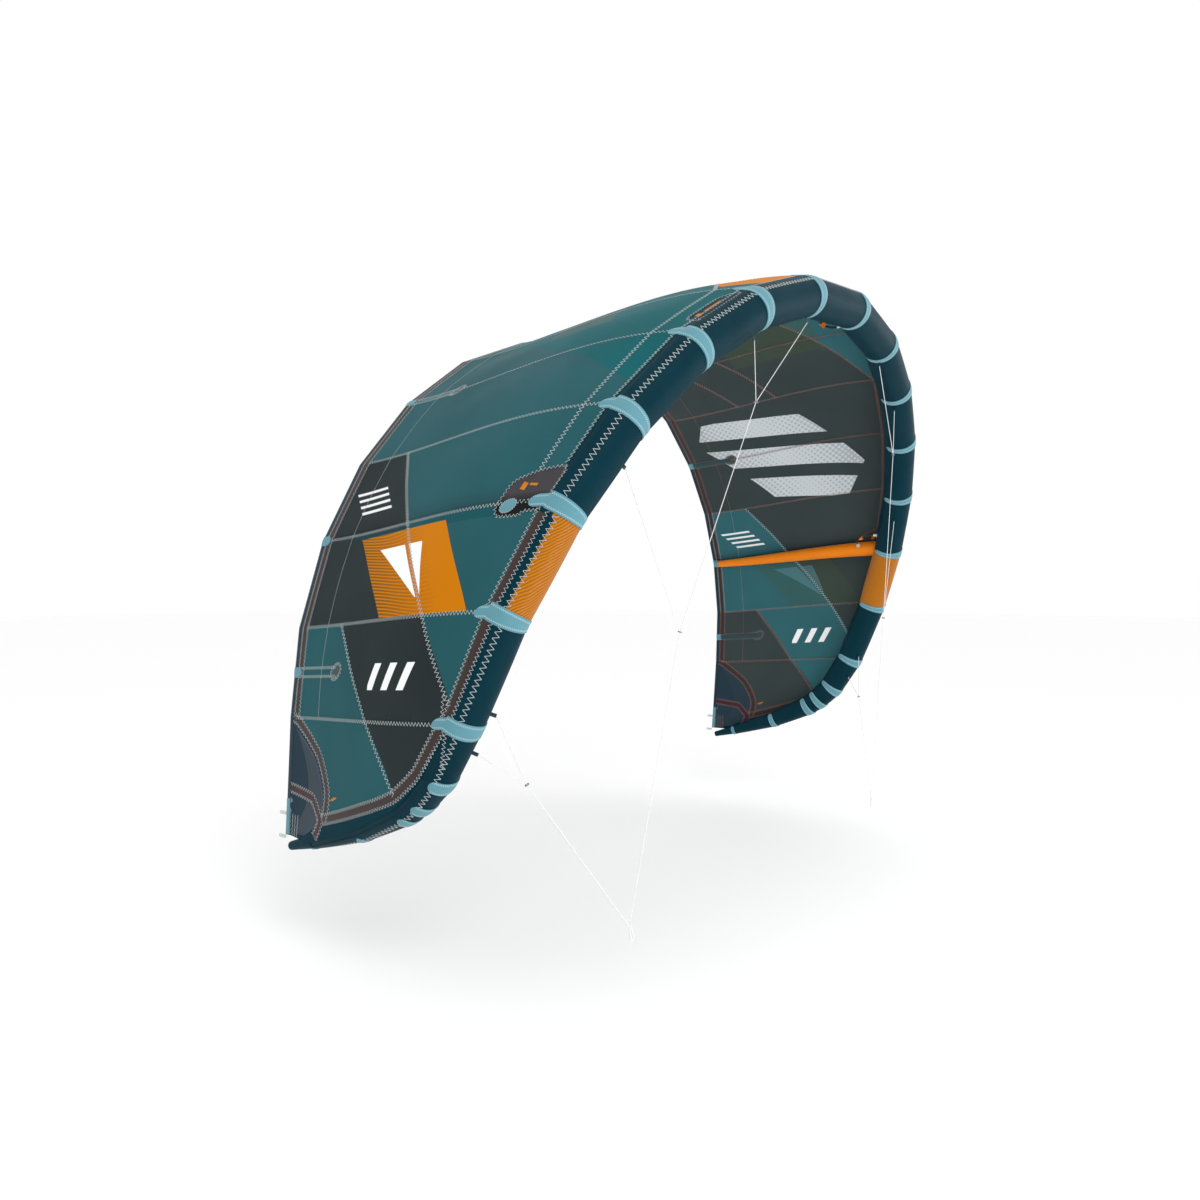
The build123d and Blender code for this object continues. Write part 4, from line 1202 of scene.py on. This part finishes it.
# outlines as place and metres behind the tube's top, the tip's as place and share of the chord
patches = {
    "strut": [(4.645, 0.004), (4.68, 0.105), (4.775, 0.2), (5.045, 0.208), (5.13, 0.18), (5.13, 0.085),
              (5.09, 0.075), (5.09, 0.004)],
    "valve": [(2.80, -0.004), (2.77, 0.045), (2.70, 0.062), (2.25, 0.062), (2.16, 0.035), (2.11, -0.004)],
    "spot": (5.03, 0.152, 0.075, 0.034),
    "tip": [(7.06, 0.972), (7.27, 0.775), (7.69, 0.47), (7.86, 0.42), (7.885, 0.97)],
}
battens = {
    "places": (3, 6.5), "length": 0.29, "front": 0.026, "rear": 0.030, "head": 0.040, "half": 0.017,
    "depth": 0.006, "rodWidth": 0.011, "rodLow": -0.0052, "rodHigh": -0.0028,
}


def onChord(corners, side):
    corners = np.array(corners, float)
    corners[:, 0] *= side
    return np.stack([corners[:, 0], corners[:, 1] * chordAt(corners[:, 0])], -1)


def onWing(corners, side):
    return np.array(corners, float) * np.array([side, 1.0])


def squarePatch(place, back, halfSpan, halfBack, side, lean=0.0):
    # a small leaning rectangle, its half sizes in metres
    middle = lengthAt(place * side)
    corners = [(-1, -1), (-1, 1), (1, 1), (1, -1)]
    return np.array([(placeAt(middle + a * halfSpan + b * lean), back + b * halfBack) for a, b in corners])


def makePatches():
    for wing, side in (("right", 1), ("left", -1)):
        stitched = []
        points, faces, maps, outline = patchMesh(onWing(patches["strut"], side), -0.0010, 0.0011, rounding=11)
        joinParts(f"strut_patch_{wing}", [(points, faces, maps)], stuff["strutPatch"], "hem_fabric")
        stitched.append(zigzagMesh(outline, 0.016, 0.012, 0.0011, 0.0019))
        place, back, spanHalf, backHalf = patches["spot"]
        turns = np.linspace(0, 2 * pi, 12, endpoint=False)
        oval = np.stack([side * (place + spanHalf * np.sin(turns) * 0.9), back + backHalf * np.cos(turns)], -1)
        points, faces, maps, outline = patchMesh(oval, -0.0004, 0.0022)
        spot = [(points, faces, {"cloth": maps["cloth"]})]
        joinParts(f"strut_spot_{wing}", spot, stuff["band"], "band_fabric")
        stitched.append(zigzagMesh(outline, 0.008, 0.005, 0.0009, 0.0024))
        points, faces, maps, _ = patchMesh(onChord(patches["tip"], side), -0.0008, 0.0008, rounding=5)
        made = joinParts(f"wingtip_patch_{wing}_cloth", [(points, faces, maps)], stuff["navy"], "hem_fabric")
        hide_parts(f"wingtip_patch_{wing}")
        labels = [squarePatch(4.84, 0.135, 0.015, 0.012, side, 0.004),
                  squarePatch(4.83, 0.098, 0.005, 0.017, side, 0.002),
                  squarePatch(7.51, 0.485 * float(chordAt(7.51)), 0.020, 0.010, side)]
        if side < 0:
            corners = onWing(patches["valve"], side)
            points, faces, maps, outline = patchMesh(corners, -0.0009, 0.0010, rounding=7)
            joinParts("valve_patch", [(points, faces, maps)], stuff["sleeve"], "sleeve_fabric")
            stitched.append(zigzagMesh(outline, 0.016, 0.012, 0.0011, 0.0018))
            labels += [squarePatch(2.66, 0.030, 0.014, 0.010, side, 0.003),
                       squarePatch(2.45, 0.030, 0.052, 0.0045, side)]
        parts = [patchMesh(label, -0.0013, 0.0018, rings=3, rounding=3)[:3] for label in labels]
        joinParts(f"labels_{wing}", parts, stuff["label"], "band_fabric")
        joinParts(f"patch_stitching_{wing}", stitched, stuff["thread"], "line_white", smooth=False)


def makeBattens():
    # a domed pocket under the canopy with the rod inside, two seams and a round head that show on top
    b = battens
    pockets, rods, heads, threads = [], [], [], []
    for place in [side * p for p in b["places"] for side in (-1, 1)]:
        chord = float(chordAt(place))
        front, rear = chord - b["front"] - b["length"], chord - b["rear"]
        line = np.stack([np.full(50, float(place)), np.linspace(front, rear, 50)], -1)
        offsets = np.linspace(-1, 1, 13)
        top, places, backs = besidePath(line, offsets[None, :] * b["half"], -0.0008)
        ends = smoothStep(backs[:, 6] - front, -0.001, 0.025) * smoothStep(rear - backs[:, 6], -0.001, 0.012)
        dome = -0.0012 - b["depth"] * np.sqrt(np.clip(1 - offsets**2, 0, 1))[None, :] * ends[:, None]
        bottom = besidePath(line, offsets[None, :] * b["half"], dome)[0]
        pockets.append(clothShell(top, bottom, np.stack([lengthAt(places), backs], -1)))
        points, faces, maps = ribbonMesh(line[5:-3], b["rodWidth"], b["rodLow"], b["rodHigh"])
        rods.append((points, faces, {"cloth": maps["cloth"]}))
        for edgeSide in (-1, 1):
            _, *sideLine = besidePath(line, np.array([[edgeSide * b["half"]]]), 0.0)
            threads.append(zigzagMesh(np.concatenate(sideLine, 1), 0.015, 0.013, 0.0013, 0.0018))
        turns = np.linspace(0, 2 * pi, 20, endpoint=False)
        stretch = float(np.linalg.norm(skin(place + 0.05, front) - skin(place - 0.05, front))) / 0.1
        head = np.stack([place + b["head"] * np.cos(turns) / stretch, front + b["head"] * np.sin(turns)], -1)
        points, faces, maps, outline = patchMesh(head, -0.0010, 0.0010, rounding=3)
        heads.append((points, faces, {"cloth": maps["cloth"]}))
        middle = head.mean(0)
        threads.append(zigzagMesh(middle + (outline - middle) * 0.86, 0.014, 0.014, 0.0013, 0.0019))
    joined = joinParts("batten_pocket_cloth", pockets + heads, stuff["pocket"], "hem_fabric")
    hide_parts("batten_pockets")
    rod = joinParts("batten_rods", rods, stuff["rod"], "batten_rod")
    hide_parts("mini_battens")
    joinParts("batten_stitching", threads, stuff["thread"], "line_white", smooth=False)


def makeEdgeCovers():
    # rounded covers folded over the trailing edge at battens and struts, and the long one at each tip
    parts = []
    for place in (-6.5, -strutPlace, -3, 0, 3, strutPlace, 6.5):
        chord = float(chordAt(place))
        backs = np.linspace(chord - 0.052, chord - 0.0004, 12)
        reach = 0.021 * np.sqrt(np.clip(1 - ((chord - 0.030 - backs) / 0.0225).clip(0, 1) ** 2, 0.01, 1))
        offsets = np.linspace(-1, 1, 9)[None, :] * reach[:, None]
        line = np.stack([np.full(12, float(place)), backs], -1)
        top, places, backGrid = besidePath(line, offsets, 0.0034)
        bottom = besidePath(line, offsets, -0.0034)[0]
        parts.append(clothShell(top, bottom, np.stack([offsets * 0.6, np.repeat(backs[:, None], 9, 1)], -1)))
    for side in (-1, 1):
        line = alongSpan(side * 7.62, side * 7.9, 0.012, True)
        points, faces, maps = ribbonMesh(line, 0.022, -0.0032, 0.0032)
        parts.append((points, faces, {"cloth": maps["cloth"][:, ::-1] * 0.5}))
    joinParts("edge_covers", parts, stuff["band"], "band_fabric")


makePatches()
makeBattens()
makeEdgeCovers()
print("patches and battens made")


strut = {"radius": 0.048, "tipRadius": 0.021, "taper": 1.3, "capLength": 0.034, "wall": 0.0012, "clear": 0.0018}


def strutRadius(share):
    return strut["radius"] + (strut["tipRadius"] - strut["radius"]) * share ** strut["taper"]


def strutSurface(place, share, turn, inset=0.0):
    # circles square to the chord, hung under the canopy; turn 0 is against the canopy
    place = np.full(share.shape, float(place))
    front, rear = straightRuns(leadingCurve, place), straightRuns(trailingCurve, place)
    back = rear - front
    chord = np.linalg.norm(back, axis=-1, keepdims=True)
    step = 0.05
    span = straightRuns(leadingCurve, place + step) - straightRuns(leadingCurve, place - step)
    span = span + straightRuns(trailingCurve, place + step) - straightRuns(trailingCurve, place - step)
    along = unit(span - back * (span * back).sum(-1, keepdims=True) / chord**2)
    out = np.cross(along, back / chord)
    crown = canopy["camber"] * chord[..., 0] * 27 / 4
    top = (radiusAt(place) + 0.0043 + crown * share) * (1 - share) ** 2 - 0.004 - 0.0006
    centre = front + back * share[..., None] + out * (top - strutRadius(share))[..., None]
    ring = out * np.cos(turn)[..., None] + along * np.sin(turn)[..., None]
    return centre + ring * (strutRadius(share) - inset)[..., None]


def makeStruts():
    for name, place in (("left", -strutPlace), ("centre", 0), ("right", strutPlace)):
        turns = np.linspace(0, 2 * pi, 61)
        at = np.array(float(place))
        chord = float(np.linalg.norm(straightRuns(trailingCurve, at) - straightRuns(leadingCurve, at)))
        end = 1 - (trailingEdge["hemWidth"] + strut["capLength"]) / chord
        trial = np.linspace(0.0, 0.2, 400)
        shareGrid, turnGrid = np.meshgrid(trial, turns, indexing="ij")
        points = strutSurface(place, shareGrid, turnGrid)
        axisPoints = straightRuns(leadingCurve, np.linspace(place - 1.0, place + 1.0, 201))
        distance = np.min(np.linalg.norm(points[:, :, None] - axisPoints[None, None], axis=-1), -1)
        clear = distance > float(radiusAt(place)) + strut["clear"]
        first = trial[np.argmax(clear & (shareGrid > 0.01), axis=0)]
        ways = np.linspace(0, 1, 70)
        shares = first[None, :] + (end - first)[None, :] * ways[:, None]
        turnGrid = np.repeat(turns[None, :], 70, 0)
        outer, inner = (strutSurface(place, shares, turnGrid, inset) for inset in (0.0, strut["wall"]))
        cloth = np.stack([shares * chord, turnGrid / (2 * pi)], -1)
        faces = np.concatenate(pipeFaces(*shares.shape))
        made = newMesh(f"strut_sleeve_{name}_cover", stacked(outer, inner), faces, stuff["strut"],
                       {"cloth": stacked(cloth, cloth)})
        mergeDoubles(made)
        outwards(made)
        finishPiece(made, "sleeve_fabric", f"strut_sleeve_{name}")


makeStruts()
print("struts made")


nodeStuff = {
    "inflate_valve_body": "valve", "inflate_valve_cap": "cap", "inflate_valve_flap": "rubber",
    "leading_edge_bladder": "film", "strut_bladder_left": "film", "strut_bladder_centre": "film",
    "strut_bladder_right": "film", "leading_edge_tip_ends": "tipEnd", "strut_end_caps": "bandPlain",
    "clip_lever_left": "clip", "clip_lever_centre": "clip", "clip_lever_right": "clip", "hose_clips": "clip",
    "hose_fittings": "valve", "bridle_rings": "ring", "bridle_tabs": "sleevePlain", "tow_loops": "line",
    "rear_line_tabs": "rearLine",
}
for nodeName, key in nodeStuff.items():
    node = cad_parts[nodeName]
    node.data.materials.clear()
    node.data.materials.append(stuff[key])

print("materials given")
